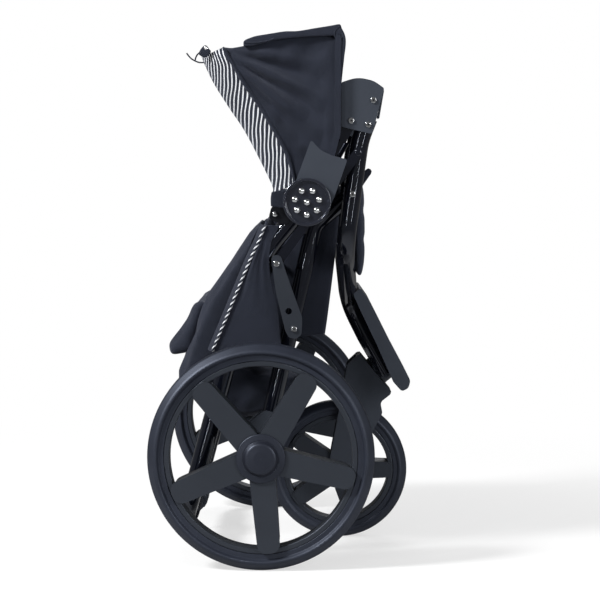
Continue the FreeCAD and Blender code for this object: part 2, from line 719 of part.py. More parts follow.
def handle_tubes():
    """Bent tubes from the fold pivots to the grip corners, with flat eyes at the pivots."""
    side = -size("leg_y")
    along = math.degrees(math.atan2(HUB[1] - HANDLE_PIVOT[1], HUB[0] - HANDLE_PIVOT[0]))
    start = polar(HANDLE_PIVOT, 29.0, along)
    corner_y = side + size("bar_inset")
    places = [(start[0], side, start[1]), (HUB[0], side, HUB[1]), (0.0, side, 420.0),
              (-40.0, side, 300.0), (-70.0, side, 190.0), (GRIP[0], side, GRIP[1]),
              (GRIP[0], corner_y, GRIP[1])]
    skin = tube("handle_skin", places, [0, 150, 180, 300, 300, 45, 0], "Sizes.leg_dia")
    half = size("leg_dia") / 2
    tip = polar(HANDLE_PIVOT, 31.0, along)
    left = polar((0, 0), 8.0, along + 90)
    outline = [(tip[0] + left[0], tip[1] + left[1]),
               (HANDLE_PIVOT[0] + left[0] + 8 * math.cos(math.radians(along + 180)),
                HANDLE_PIVOT[1] + left[1] + 8 * math.sin(math.radians(along + 180))),
               (HANDLE_PIVOT[0] - left[0] + 8 * math.cos(math.radians(along + 180)),
                HANDLE_PIVOT[1] - left[1] + 8 * math.sin(math.radians(along + 180))),
               (tip[0] - left[0], tip[1] - left[1])]
    fit = size("bolt_dia") / 2 + size("pivot_fit")
    eye = side_plate("handle_eye", outline, [0, 7.9, 7.9, 0], size("leg_y") - half + 1,
                     2 * half - 2, [(HANDLE_PIVOT, fit)])
    both_sides("handle_tube", fuse("handle_side", [skin, eye]))
    reach = size("leg_y") - size("bar_inset")
    node("handle_bar", cut("handle_bar", rod("bar_skin", GRIP, -reach, reach, "Sizes.leg_dia"),
                           rod("bar_bore", GRIP, -reach, reach, "Sizes.leg_dia - 2 * Sizes.tube_wall")))


def foam_grip():
    """Foam sleeve over the handlebar."""
    reach = size("leg_y") - size("grip_inset")
    node("foam_grip", cut("foam_grip", rod("grip_skin", GRIP, -reach, reach, "Sizes.grip_dia"),
                          rod("grip_bore", GRIP, -reach - 1, reach + 1,
                              "Sizes.leg_dia + 2 * Sizes.seat_fit")))


def canopy_hubs():
    """Plates and round covers outside the handle tubes, on bosses from the tubes."""
    inner = size("hub_plate_in_y")
    outline = [(66.9, 577), (80, 563), (95, 556), (116, 550.5), (98, 499), (84, 470), (50, 470),
               (36, 500), (48, 526)]
    plate = side_plate("hub_plate", outline, [2, 20, 20, 3, 10, 20, 20, 20, 10], inner,
                       "Sizes.hub_plate_thick")
    boss = rod("hub_boss", HUB, size("leg_y") + size("leg_dia") / 2 - size("bite"), inner + 1,
               "Sizes.stem_dia")
    both_sides("hub_plate", fuse("hub_plate_whole", [plate, boss]))
    outer = inner + size("hub_plate_thick")
    disc = doc.addObject("PartDesign::Body", "hub_disc")
    radius = size("hub_disc_dia") / 2
    thick = size("hub_disc_thick")
    turned_part(disc, "hub_disc_turned",
                [(0, 0), (0, radius), (-thick, radius), (-thick, radius - 3.5), (-thick + 3.5, radius - 5),
                 (-thick + 3.5, 0)], [0, 1, 1.2, 1, 0.5, 0])
    move(disc, HUB[0], -outer, HUB[1])
    both_sides("hub_disc", disc)
    floor_y = outer + thick - 3.5
    studs = [rod("hub_stud_0", HUB, floor_y, floor_y + 2.4, "Sizes.screw_head_dia")]
    for index in range(STUDS):
        place = polar(HUB, STUD_CIRCLE, 360.0 * index / STUDS + STUD_TURN)
        studs.append(rod("hub_stud_%d" % (index + 1), place, floor_y, floor_y + 2.4,
                         "Sizes.screw_head_dia"))
    twins = [mirror(item.Label + "_twin", item) for item in studs]
    node("hub_studs", group("hub_studs", studs + twins))


def fold_trigger():
    """Squeeze trigger under the middle of the handlebar."""
    inner = size("grip_dia") / 2 + 0.8
    angles = (-42, -21, 0, 21, 42)
    outline = [polar(GRIP, inner + 5, angle) for angle in angles]
    outline += [polar(GRIP, inner, angle) for angle in reversed(angles)]
    half = size("pedal_width") / 2
    node("fold_trigger", side_plate("fold_trigger", outline, 1.2, -half, 2 * half))
    collar = cut("trigger_collar_whole", rod("collar_skin", GRIP, size("pedal_width") / 2 + 4,
                                             size("pedal_width") / 2 + 12, "Sizes.grip_dia + 8"),
                 rod("collar_bore", GRIP, size("pedal_width") / 2 + 3, size("pedal_width") / 2 + 13,
                     "Sizes.grip_dia + 2 * Sizes.seat_fit"))
    pair("trigger_collars", collar)


# ---- seat and back --------------------------------------------------------


def seat_rails():
    """Flat bars from the front legs to the open pivot, outside the tubes."""
    inner = size("rail_in_y")
    fit = size("bolt_dia") / 2 + size("pivot_fit")
    along = math.degrees(math.atan2(OPEN_PIVOT[1] - RAIL_PIVOT[1], OPEN_PIVOT[0] - RAIL_PIVOT[0]))
    over = 8.0
    half = 6.5
    top = polar(RAIL_PIVOT, -over, along)
    low = polar(OPEN_PIVOT, over, along)
    left = polar((0, 0), half, along + 90)
    outline = [(top[0] + left[0], top[1] + left[1]), (top[0] - left[0], top[1] - left[1]),
               (low[0] - left[0], low[1] - left[1]), (low[0] + left[0], low[1] + left[1])]
    rail = side_plate("rail_bar", outline, 6, inner, "Sizes.rail_thick", [(RAIL_PIVOT, fit)])
    both_sides("seat_rail", rail)
    reach = inner + 0.5
    rods = [rod(label, place, -reach, reach, "Sizes.rod_dia")
            for label, place in (("seat_rear_rod", REAR_ROD), ("seat_front_rod", FRONT_ROD))]
    node("seat_rods", group("seat_rods", rods))


def beside_rods(start, on, out):
    """Point `on` mm past `start` towards the rear rod and `out` mm off the rods' line."""
    along = math.degrees(math.atan2(REAR_ROD[1] - FRONT_ROD[1], REAR_ROD[0] - FRONT_ROD[0]))
    return polar(polar(start, on, along), out, along + 90)


def seat_pan():
    """Padded seat slung over the two cross rods."""
    outline = [beside_rods(FRONT_ROD, -9, -10), beside_rods(FRONT_ROD, -9, SEAT_UNDER),
               beside_rods(REAR_ROD, 5, SEAT_UNDER), beside_rods(REAR_ROD, 5, -10)]
    half = size("seat_half")
    hole = size("rod_dia") / 2 + size("seat_fit")
    rods = [(FRONT_ROD, hole), (REAR_ROD, hole)]
    node("seat_pan", side_plate("seat_pan", outline, 4, -half, 2 * half, rods))


def seat_skirt():
    """Fabric sides and front apron that hang from the seat, open behind and below."""
    seam = SEAT_UNDER + 0.3
    outline = [beside_rods(FRONT_ROD, -9, seam), (108.5, 470), (99, 385), (89, 307), (60, 300),
               (22, 306), (13, 350), (15, 396), beside_rods(REAR_ROD, 5, seam)]
    half = size("seat_half") + size("skirt_side")
    body = side_plate("seat_skirt", outline, [0, 30, 60, 6, 40, 12, 30, 4, 1], -half, 2 * half)
    hollow = [(107, 530), (104.5, 470), (95, 385), (84, 290), (-10, 290), (-10, 420), (20, 425)]
    inner = half - size("skirt_side")
    node("seat_skirt", pocket(body, hollow, [0, 30, 60, 0, 0, 0, 0], -inner, 2 * inner))


def basket():
    """Slack shopping basket, folded down round the cross tube between the rear legs."""
    outline = [(-92, 250), (-84, 256), (-60, 268), (-38, 274), (-16, 264), (20, 254), (60, 252),
               (68, 240), (56, 214), (12, 196), (-30, 188), (-70, 186), (-90, 196), (-98, 222)]
    half = inside_legs() - 3
    tube_hole = size("rear_leg_dia") / 2 - 2 + size("seat_fit")
    node("basket", side_plate("basket", outline, [8, 20, 40, 20, 30, 40, 6, 8, 20, 40, 40, 20, 12, 20],
                              -half, 2 * half, [(CROSS_TUBE, tube_hole)]))


def backrest():
    """Slack backrest fabric behind the handle tubes, and the pocket flap on it."""
    outline = [(0.6, 476), (-19, 436), (-53, 385), (-74, 360), (-88, 325), (-103, 284), (-113, 259),
               (-127, 234), (-116, 233), (-86, 262), (-52, 281), (-37, 284), (-34, 300), (-40, 334),
               (-17, 412), (-8, 445), (0.6, 462)]
    half = size("leg_y") - size("leg_dia") / 2 - size("gap")
    body = side_plate("backrest", outline, [1, 60, 60, 30, 40, 40, 20, 4, 4, 40, 20, 4, 4, 20, 60, 30, 4],
                      -half, 2 * half)
    node("backrest", body)
    flap = [(-74.5, 362), (-92, 352), (-103, 327), (-128, 293), (-135.5, 285), (-131, 276.5), (-104, 283),
            (-88.5, 327)]
    node("back_flap", side_plate("back_flap", flap, [2, 8, 20, 20, 3, 3, 10, 10], -half + 25,
                                 2 * half - 50))


def strap_brackets():
    """Small plates on the handle tubes that hold the seat straps' screws."""
    face = size("leg_y") + size("leg_dia") / 2 + size("seat_fit")
    outline = [(9, 471), (13, 487), (34, 490), (44, 478), (34, 462), (18, 466)]
    plate = side_plate("strap_plate", outline, [6, 6, 4, 4, 4, 6], face, 1.4)
    head = screw("strap_screw", STRAP_SCREW, face, face + 1.4, "Sizes.bolt_dia / 2")
    pair("strap_brackets", fuse("strap_bracket", [plate, head]))


def lower_back():
    """Lower half of the back, hanging folded inside the frame."""
    outline = [(1, 462), (1, 471), (11, 471), (11, 462), (4, 360), (-2, 275), (-9, 275), (-8, 340),
               (-3, 420)]
    half = inside_legs()
    node("lower_back", side_plate("lower_back", outline, [4.9, 4.9, 4.9, 4.9, 60, 3, 3, 60, 60], -half,
                                  2 * half))


# ---- canopy ---------------------------------------------------------------


def canopy_rear():
    """Rear hood: striped rear wall, roof and two side panels, open at the front and below."""
    outline = [(-85, 701), (-77, 676), (-43, 619), (-8, 561), (13, 518), (11.5, 503), (11.5, 485),
               (56, 478), (74, 484), (92, 556), (106, 592), (107.2, 716), (88, 719.5), (36, 719.5),
               (-12, 707.5), (-55, 702)]
    outer = size("canopy_in_y") + size("canopy_side")
    body = side_plate("canopy_hood", outline, [3, 20, 60, 60, 30, 20, 4, 15, 10, 20, 20, 2, 40, 60, 60, 5],
                      -outer, 2 * outer, [(HUB, size("stem_dia") / 2 + size("pivot_fit"))])
    hollow = [(-71, 694), (-66, 676), (-33, 620), (2, 562), (20, 524), (-10, 510), (-10, 470), (120, 470),
              (120, 706), (88, 712), (36, 712), (-12, 700)]
    inner = size("canopy_in_y")
    pocket(body, hollow, [3, 20, 60, 60, 0, 0, 0, 0, 3, 40, 60, 60], -inner, 2 * inner)
    slots = []
    for index, side in enumerate((-1, 1)):
        slot = doc.addObject("Part::Box", "canopy_slot_%d" % index)
        slot.Length = 150
        slot.Height = 125
        bind(slot, Width="Sizes.leg_dia + 12")
        corner = point(-90, side * size("leg_y") - size("leg_dia") / 2 - 6, 490)
        slot.Placement = FreeCAD.Placement(corner, FreeCAD.Rotation())
        slots.append(slot)
    node("canopy_rear", cut("canopy_rear", body, fuse("canopy_slots", slots)))


def canopy_front():
    """Front flap of the canopy and the bow that carries it, folded back over the roof."""
    outer = size("bow_in_y") + size("bow_thick")
    flap = [(-27, 706.8), (-28, 711), (-12, 716), (26, 727), (87, 733.5), (104, 736), (109, 732),
            (113, 717), (112.5, 698), (109.6, 676), (108.3, 676), (108.3, 717.6), (86, 722.2),
            (36, 722.2), (-8, 711)]
    roof = side_plate("canopy_flap", flap, [2, 2, 8, 40, 20, 2, 4, 12, 20, 0.5, 0.5, 1, 60, 60, 60],
                      -outer, 2 * outer)
    node("canopy_flap", roof)
    arm = [(55, 486), (68, 486), (76, 502), (98, 552), (107, 586), (107.5, 690), (108, 716), (100, 721),
           (99, 690), (98.5, 590), (90, 560), (52, 500)]
    bow = side_plate("canopy_bow", arm, [7, 7, 5, 40, 40, 4, 2, 2, 4, 40, 40, 5], size("bow_in_y"),
                     "Sizes.bow_thick", [(HUB, size("stem_dia") / 2 + size("pivot_fit"))])
    both_sides("canopy_bow", bow)


def cord_bends(places):
    """Radius at each place of a cord's route, as large as the two runs beside it allow."""
    bends = [0.0]
    for before, corner, after in zip(places, places[1:], places[2:]):
        came = corner - before
        goes = after - corner
        bends.append(CORD_EASE * min(came.Length, goes.Length) / math.tan(came.getAngle(goes) / 2))
    return bends + [0.0]


def canopy_cord():
    """Thin elastic from the canopy's rear edge to its loose end."""
    places = [(x, CORD_SIDE, z) for x, z in CORD_ROUTE]
    bends = cord_bends([FreeCAD.Vector(*place) for place in places])
    print("cord radii", " ".join("%.1f" % radius for radius in bends[1:-1]))
    node("canopy_cord", sweep("canopy_cord_line", path_of(places, bends), "Sizes.cord_dia / 2"))


# ---- document -------------------------------------------------------------


def check_objects():
    """Stop if any object failed or any sub-part is empty or invalid."""
    for item in doc.Objects:
        if "Invalid" in item.State or "Error" in item.State:
            raise ValueError("%s did not build: %s" % (item.Label, item.State))
    for item in NODES:
        if item.Shape.isNull() or not item.Shape.isValid() or not item.Shape.Solids:
            raise ValueError("%s has no valid shape" % item.Label)


def write_parts():
    os.makedirs("parts", exist_ok=True)
    for item in NODES:
        item.Shape.exportStep(os.path.join("parts", item.Label + ".step"))


def main():
    fill_sheet()
    rear_axle()
    rear_wheels()
    brake()
    rear_legs()
    leg_bolts()
    links()
    leg_skins = front_legs()
    fold_brackets()
    housing = caster_housing()
    footrest(leg_skins + [housing])
    calf_panel(leg_skins)
    leg_straps()
    caster_fork()
    swivel_stem()
    front_wheel()
    handle_tubes()
    foam_grip()
    canopy_hubs()
    fold_trigger()
    seat_rails()
    seat_pan()
    seat_skirt()
    basket()
    backrest()
    strap_brackets()
    lower_back()
    canopy_rear()
    canopy_front()
    canopy_cord()
    doc.recompute()
    check_objects()
    write_parts()


main()
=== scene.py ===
import math

import bmesh
import bpy
from bpy.props import FloatProperty, FloatVectorProperty, PointerProperty
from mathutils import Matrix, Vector, noise


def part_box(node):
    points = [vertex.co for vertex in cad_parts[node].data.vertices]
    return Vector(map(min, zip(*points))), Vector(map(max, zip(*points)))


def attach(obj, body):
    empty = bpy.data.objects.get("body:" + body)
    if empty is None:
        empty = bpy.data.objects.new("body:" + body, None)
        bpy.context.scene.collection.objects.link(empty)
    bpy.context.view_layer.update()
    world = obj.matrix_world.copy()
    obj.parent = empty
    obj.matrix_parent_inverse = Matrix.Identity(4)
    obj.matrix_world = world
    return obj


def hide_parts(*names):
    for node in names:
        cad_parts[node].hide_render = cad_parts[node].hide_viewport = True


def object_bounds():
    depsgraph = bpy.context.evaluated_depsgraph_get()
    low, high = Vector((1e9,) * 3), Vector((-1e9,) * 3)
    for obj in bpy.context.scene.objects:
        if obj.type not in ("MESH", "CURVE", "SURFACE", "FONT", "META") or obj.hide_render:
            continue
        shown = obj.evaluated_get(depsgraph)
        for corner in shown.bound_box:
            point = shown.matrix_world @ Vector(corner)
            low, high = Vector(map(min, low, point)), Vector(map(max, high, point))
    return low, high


bl_info = {
    "name": "Folded stroller",
    "version": (1, 0, 0),
    "blender": (4, 5, 0),
    "location": "View3D > Sidebar > Stroller",
    "description": "Dresses the packed frame of a folded three-wheeled stroller",
    "category": "Object",
}

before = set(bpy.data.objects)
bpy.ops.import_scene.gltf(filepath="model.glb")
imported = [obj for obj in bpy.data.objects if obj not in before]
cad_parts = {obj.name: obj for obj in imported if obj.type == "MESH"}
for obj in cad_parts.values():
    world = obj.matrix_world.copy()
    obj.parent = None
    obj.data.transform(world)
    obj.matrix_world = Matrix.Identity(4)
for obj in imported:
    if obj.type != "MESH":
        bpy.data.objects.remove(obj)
cad_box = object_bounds()
MM = 0.001

# Places of the carrying frame, X and Z in millimetres from the rear axle and the floor.
HUB = (61.4, 493.0)
RAIL_PIVOT = (130.6, 560.0)
STRAP_SCREW = (17.9, 476.6)
CAMERA_PLACE = (66.4, -3141, 525.6)
CAMERA_AIM = (52.2, -275, 362.7)


def middle(node):
    """Middle of a node's box."""
    low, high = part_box(node)
    return [(a + b) / 2 for a, b in zip(low, high)]


AXLE = middle("rear_axle")


def at(x, y, z):
    """A place given in millimetres from the rear axle and the floor, in the frame's metres."""
    return Vector((AXLE[0] + x * MM, y * MM, z * MM))


# ---- properties -------------------------------------------------------------


def length(name, text, millimetres):
    """A length property; its default is given in millimetres."""
    return FloatProperty(name=name, description=text, default=millimetres * MM, subtype="DISTANCE",
                         unit="LENGTH")


def linear(code):
    """An sRGB hex colour as linear RGB."""
    out = []
    for index in (1, 3, 5):
        part = int(code[index:index + 2], 16) / 255
        out.append(part / 12.92 if part <= 0.04045 else ((part + 0.055) / 1.055) ** 2.4)
    return tuple(out)


def colour(name, text, code):
    """A colour property; its default is given as sRGB hex."""
    return FloatVectorProperty(name=name, description=text, default=linear(code), subtype="COLOR",
                               size=3, min=0.0, max=1.0)


class StrollerFabric(bpy.types.PropertyGroup):
    """Sizes and colours of the sewn parts."""

    cloth: colour("Cloth", "Colour of the plain woven cloth", "#0E111D")
    ground: colour("Stripe ground", "Colour of the cloth between the stripes", "#11141F")
    stripe: colour("Stripe", "Colour of the pin stripes", "#E4E6EA")
    pitch: length("Stripe pitch", "From one pin stripe to the next", 5.6)
    stripe_width: length("Stripe width", "Width of one pin stripe", 1.7)
    cloth_thickness: length("Cloth thickness", "Thickness of the hood's cloth", 1.4)
    piping: length("Piping", "Diameter of the twisted piping on the backrest", 3.8)
    thread: length("Thread pitch", "From one yarn to the next in the weave", 0.9)


class StrollerFrame(bpy.types.PropertyGroup):
    """Colours of the hard parts."""

    enamel: colour("Enamel", "Colour of the gloss enamel on the tubes", "#0B0D15")
    moulding: colour("Moulding", "Colour of the satin mouldings", "#33373E")
    wheel: colour("Wheel", "Colour of the spoked rims", "#25282D")
    tyre: colour("Tyre", "Colour of the tyres", "#1D2029")
    steel: colour("Steel", "Colour of the plated screws", "#D8DADD")
    lens: length("Lens", "Focal length of the camera", 128.8)


def fabric():
    """The panel's values for the sewn parts."""
    return bpy.context.scene.stroller_fabric


def hard():
    """The panel's values for the hard parts."""
    return bpy.context.scene.stroller_frame


# ---- materials --------------------------------------------------------------

# Tint of the shine on plastic, paint and cloth; the lamps themselves are white.
COOL_SHINE = (0.72, 0.8, 1.0, 1)


def add_node(tree, kind, settings=None, **links):
    """Add a node, set its settings, and link or set its sockets."""
    node = tree.nodes.new(kind)
    for key, value in (settings or {}).items():
        setattr(node, key, value)
    for key, value in links.items():
        wanted = key.replace("_", " ")
        socket = next(s for s in node.inputs if s.name == wanted or s.identifier == key)
        if isinstance(value, bpy.types.NodeSocket):
            tree.links.new(value, socket)
        else:
            socket.default_value = value
    return node


def new_material(name, base, roughness, metallic=0.0):
    """A material with its shader set up; returns material, tree and shader."""
    made = bpy.data.materials.new(name)
    made.use_nodes = True
    tree = made.node_tree
    shader = tree.nodes["Principled BSDF"]
    shader.inputs["Base Color"].default_value = (*base, 1)
    shader.inputs["Roughness"].default_value = roughness
    shader.inputs["Metallic"].default_value = metallic
    if not metallic:
        shader.inputs["Specular Tint"].default_value = COOL_SHINE
    made.diffuse_color = (*base, 1)
    return made, tree, shader


def scaled(tree, factor):
    """Object coordinates, so that a pattern keeps its real size."""
    where = add_node(tree, "ShaderNodeTexCoord")
    return add_node(tree, "ShaderNodeVectorMath", {"operation": "SCALE"}, Vector=where.outputs["Object"],
                    Scale=factor).outputs[0]


def bump_from(tree, shader, height, distance, strength=1.0):
    """Raise the surface by the height socket, over the given distance in metres."""
    bump = add_node(tree, "ShaderNodeBump", None, Height=height, Distance=distance, Strength=strength)
    tree.links.new(bump.outputs["Normal"], shader.inputs["Normal"])


def varied(tree, shader, base, spread, size):
    """Slow colour variation of a surface, over the given size in metres."""
    grain = add_node(tree, "ShaderNodeTexNoise", None, Vector=scaled(tree, 1.0), Scale=1 / size, Detail=4.0)
    ramp = add_node(tree, "ShaderNodeValToRGB", None, Fac=grain.outputs["Fac"])
    ramp.color_ramp.elements[0].position = 0.3
    ramp.color_ramp.elements[1].position = 0.72
    ramp.color_ramp.elements[0].color = (*[c * (1 - spread) for c in base], 1)
    ramp.color_ramp.elements[1].color = (*[min(1, c * (1 + spread)) for c in base], 1)
    tree.links.new(ramp.outputs["Color"], shader.inputs["Base Color"])
    return ramp


def grained(tree, shader, size, depth):
    """Fine moulded or sprayed grain of the given size and depth in metres."""
    grain = add_node(tree, "ShaderNodeTexNoise", None, Vector=scaled(tree, 1.0), Scale=1 / size, Detail=2.0)
    bump_from(tree, shader, grain.outputs["Fac"], depth)


def enamel():
    # Gloss enamel sprayed and baked on steel tube: a hard clear shine with a faint orange peel.
    base = tuple(hard().enamel)
    made, tree, shader = new_material("Gloss enamel, baked on steel tube", base, 0.08)
    shader.inputs["Coat Weight"].default_value = 0.6
    shader.inputs["Coat Roughness"].default_value = 0.04
    varied(tree, shader, base, 0.12, 0.08)
    grained(tree, shader, 0.004, 0.00004)
    return made


def satin_moulding(name, base, roughness):
    # Injection moulded nylon with a fine spark-eroded grain: soft, broad highlights.
    made, tree, shader = new_material(name, base, roughness)
    shader.inputs["IOR"].default_value = 1.53
    varied(tree, shader, base, 0.08, 0.05)
    grained(tree, shader, 0.0009, 0.00005)
    return made


def tyre_foam():
    # Moulded polyurethane tyre: a dull skin, a little greyer where it is scuffed.
    base = tuple(hard().tyre)
    made, tree, shader = new_material("Polyurethane tyre, moulded skin", base, 0.48)
    shader.inputs["IOR"].default_value = 1.52
    varied(tree, shader, base, 0.2, 0.03)
    grained(tree, shader, 0.0012, 0.0001)
    return made


def plated_steel():
    # Bright zinc plating on a pressed screw: silver, slightly brushed.
    base = tuple(hard().steel)
    made, tree, shader = new_material("Zinc plated steel, bright", base, 0.13, 1.0)
    varied(tree, shader, base, 0.1, 0.004)
    grained(tree, shader, 0.0007, 0.00004)
    return made


def black_steel():
    # Black oxide on turned steel: dark with a dull metal sheen.
    # The same finish also paints the shade inside the screw sockets.
    base = linear("#202228")
    made, tree, shader = new_material("Black oxide on turned steel, also painted socket shade", base, 0.34, 0.7)
    varied(tree, shader, base, 0.15, 0.02)
    grained(tree, shader, 0.0008, 0.00003)
    return made


def grip_foam():
    # Closed-cell EVA foam sleeve: matt, with an open fine cell grain.
    base = linear("#202229")
    made, tree, shader = new_material("EVA foam, closed cell", base, 0.85)
    varied(tree, shader, base, 0.15, 0.01)
    cells = add_node(tree, "ShaderNodeTexVoronoi", None, Vector=scaled(tree, 1.0), Scale=1 / 0.0022)
    bump_from(tree, shader, cells.outputs["Distance"], 0.0002)
    return made


def polished_abs():
    # High gloss ABS cap: mirror-like with a clear coat.
    base = linear("#1E2028")
    made, tree, shader = new_material("ABS, polished mould face", base, 0.12)
    shader.inputs["Coat Weight"].default_value = 0.8
    shader.inputs["Coat Roughness"].default_value = 0.03
    varied(tree, shader, base, 0.1, 0.01)
    grained(tree, shader, 0.003, 0.00003)
    return made


def weave_height(tree, pitch):
    """Height of a plain weave; drawn on the three planes of the object's own space."""
    where = scaled(tree, 2 * math.pi / pitch)
    split = add_node(tree, "ShaderNodeSeparateXYZ", None, Vector=where)
    waves = [add_node(tree, "ShaderNodeMath", {"operation": "SINE"}, Value=split.outputs[axis]).outputs[0]
             for axis in (0, 1, 2)]
    first = add_node(tree, "ShaderNodeMath", {"operation": "MULTIPLY"})
    tree.links.new(waves[0], first.inputs[0])
    tree.links.new(waves[2], first.inputs[1])
    second = add_node(tree, "ShaderNodeMath", {"operation": "MULTIPLY_ADD"})
    tree.links.new(waves[1], second.inputs[0])
    tree.links.new(waves[2], second.inputs[1])
    tree.links.new(first.outputs[0], second.inputs[2])
    return second.outputs[0]


def woven(name, base):
    # Plain woven 600 denier polyester: matt, a little lighter at a glancing angle.
    # The yarn is drawn at the pitch set in the panel, coarser than life, so that it shows.
    made, tree, shader = new_material(name, base, 0.72)
    shader.inputs["Sheen Weight"].default_value = 0.18
    shader.inputs["Sheen Roughness"].default_value = 0.45
    shader.inputs["Sheen Tint"].default_value = (0.62, 0.66, 0.8, 1)
    ramp = varied(tree, shader, base, 0.16, 0.02)
    weave = weave_height(tree, fabric().thread)
    bump_from(tree, shader, weave, 0.00012)
    return made, tree, shader, ramp


def striped(name, period, width):
    # The same cloth with pin stripes woven in; the stripes follow the cut of the cloth.
    made, tree, shader, ramp = woven(name, tuple(fabric().ground))
    cut = add_node(tree, "ShaderNodeUVMap", {"uv_map": "cut"})
    split = add_node(tree, "ShaderNodeSeparateXYZ", None, Vector=cut.outputs["UV"])
    along = add_node(tree, "ShaderNodeMath", {"operation": "MULTIPLY"}, Value=split.outputs[0])
    along.inputs[1].default_value = 1 / period
    saw = add_node(tree, "ShaderNodeMath", {"operation": "PINGPONG"}, Value=along.outputs[0])
    saw.inputs[1].default_value = 0.5
    edge = add_node(tree, "ShaderNodeMapRange", None, Value=saw.outputs[0])
    share = width / period / 2
    edge.inputs["From Min"].default_value = share + 0.02
    edge.inputs["From Max"].default_value = share - 0.02
    mix = add_node(tree, "ShaderNodeMix", {"data_type": "RGBA"})
    tree.links.new(edge.outputs[0], mix.inputs["Factor"])
    tree.links.new(ramp.outputs["Color"], mix.inputs[6])
    mix.inputs[7].default_value = (*fabric().stripe, 1)
    tree.links.new(mix.outputs[2], shader.inputs["Base Color"])
    return made


# The piping's twist in metres along it, and the share of it that is light.
PIPING_LAY = 0.0092
PIPING_LIGHT = 0.36
MATERIALS = {}


def material(key):
    """Each finish, made once."""
    if key not in MATERIALS:
        makers = {
            "enamel": enamel,
            "moulding": lambda: satin_moulding("Nylon moulding, satin charcoal", tuple(hard().moulding),
                                               0.42),
            "wheel": lambda: satin_moulding("Nylon rim moulding, satin", tuple(hard().wheel), 0.4),
            "tyre": tyre_foam,
            "steel": plated_steel,
            "black": black_steel,
            "foam": grip_foam,
            "gloss": polished_abs,
            "cap": lambda: satin_moulding("Nylon hub cap moulding, satin", linear("#161820"), 0.44),
            "cloth": lambda: woven("Polyester cloth, plain weave", tuple(fabric().cloth))[0],
            # The calf panel's cloth: the same cloth as above, made lighter, which paints light onto the panel
            # where the frame shades it.
            "painted_lit_cloth": lambda: woven("Polyester lining, plain weave", linear("#262A36"))[0],
            "stripes": lambda: striped("Polyester cloth, pin striped", fabric().pitch,
                                       fabric().stripe_width),
            "twist": lambda: striped("Cotton piping, two-colour twist", PIPING_LAY,
                                     PIPING_LIGHT * PIPING_LAY),
        }
        MATERIALS[key] = makers[key]()
    return MATERIALS[key]


def finish_node(key, *nodes):
    """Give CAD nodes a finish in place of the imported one."""
    for name in nodes:
        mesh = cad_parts[name].data
        if not mesh.materials:
            mesh.materials.append(None)
        for index in range(len(mesh.materials)):
            mesh.materials[index] = material(key)


# ---- mesh helpers -----------------------------------------------------------


def spline(points, count):
    """Places evenly spread along a smooth curve through the points."""
    places = [Vector(p) for p in points]
    ends = [2 * places[0] - places[1]] + places + [2 * places[-1] - places[-2]]
    fine = []
    steps = 24
    for index in range(1, len(ends) - 2):
        a, b, c, d = ends[index - 1:index + 3]
        for step in range(steps):
            t = step / steps
            fine.append(0.5 * (2 * b + (c - a) * t + (2 * a - 5 * b + 4 * c - d) * t * t
                               + (3 * b - a - 3 * c + d) * t ** 3))
    fine.append(places[-1])
    sums = [0.0]
    for a, b in zip(fine, fine[1:]):
        sums.append(sums[-1] + (b - a).length)
    out = []
    cursor = 0
    for index in range(count):
        wanted = sums[-1] * index / (count - 1)
        while cursor < len(sums) - 2 and sums[cursor + 1] < wanted:
            cursor += 1
        span = sums[cursor + 1] - sums[cursor] or 1.0
        out.append(fine[cursor].lerp(fine[cursor + 1], (wanted - sums[cursor]) / span))
    return out


def add_object(name, mesh, key):
    """Put a smooth shaded mesh with its finish into the scene."""
    mesh.materials.append(material(key))
    made = bpy.data.objects.new(name, mesh)
    bpy.context.scene.collection.objects.link(made)
    for face in mesh.polygons:
        face.use_smooth = True
    return made


def grid_object(name, rows, key, cut=None, closed=False):
    """A quad mesh through rows of places; cut gives each place's flat coordinates in metres."""
    width = len(rows[0])
    verts = [tuple(p) for row in rows for p in row]
    faces = []
    for r in range(len(rows) - 1):
        for c in range(width if closed else width - 1):
            n = (c + 1) % width
            faces.append((r * width + c, r * width + n, (r + 1) * width + n, (r + 1) * width + c))
    mesh = bpy.data.meshes.new(name)
    mesh.from_pydata(verts, [], faces)
    if cut:
        layer = mesh.uv_layers.new(name="cut")
        flat = [uv for row in cut for uv in row]
        for loop in mesh.loops:
            layer.data[loop.index].uv = flat[loop.vertex_index]
    mesh.update()
    return add_object(name, mesh, key)


def mend(made, merge=True, fill=True):
    """Merge points that coincide, close open ends and turn the faces outwards."""
    build = bmesh.new()
    build.from_mesh(made.data)
    if merge:
        bmesh.ops.remove_doubles(build, verts=build.verts, dist=1e-6)
    if fill:
        bmesh.ops.holes_fill(build, edges=build.edges)
    bmesh.ops.recalc_face_normals(build, faces=build.faces)
    build.to_mesh(made.data)
    build.free()


def tube_object(name, places, radius, key, sides=10, turns=0.0):
    """A round cord along places, its cut coordinates running along and around it."""
    rows = []
    cut = []
    run = 0.0
    side = None
    for index, place in enumerate(places):
        ahead = places[min(index + 1, len(places) - 1)] - places[max(index - 1, 0)]
        ahead.normalize()
        if side is None:
            side = ahead.cross(Vector((0, 1, 0.2))).normalized()
        side = (side - ahead * side.dot(ahead)).normalized()
        other = ahead.cross(side)
        if index:
            run += (place - places[index - 1]).length
        size = radius * (0.55 if index in (0, len(places) - 1) else 1.0)
        ring = []
        flat = []
        for step in range(sides + 1):
            angle = 2 * math.pi * step / sides
            ring.append(place + (side * math.cos(angle) + other * math.sin(angle)) * size)
            flat.append((run + turns * step / sides, step / sides))
        rows.append(ring)
        cut.append(flat)
    made = grid_object(name, rows, key, cut)
    mend(made)
    return made


def thicken(made, depth, levels=1):
    """Give a sheet its thickness and round it."""
    solid = made.modifiers.new("Cloth thickness", "SOLIDIFY")
    solid.thickness = depth
    solid.offset = 0.0
    if levels:
        smooth_over(made, levels)


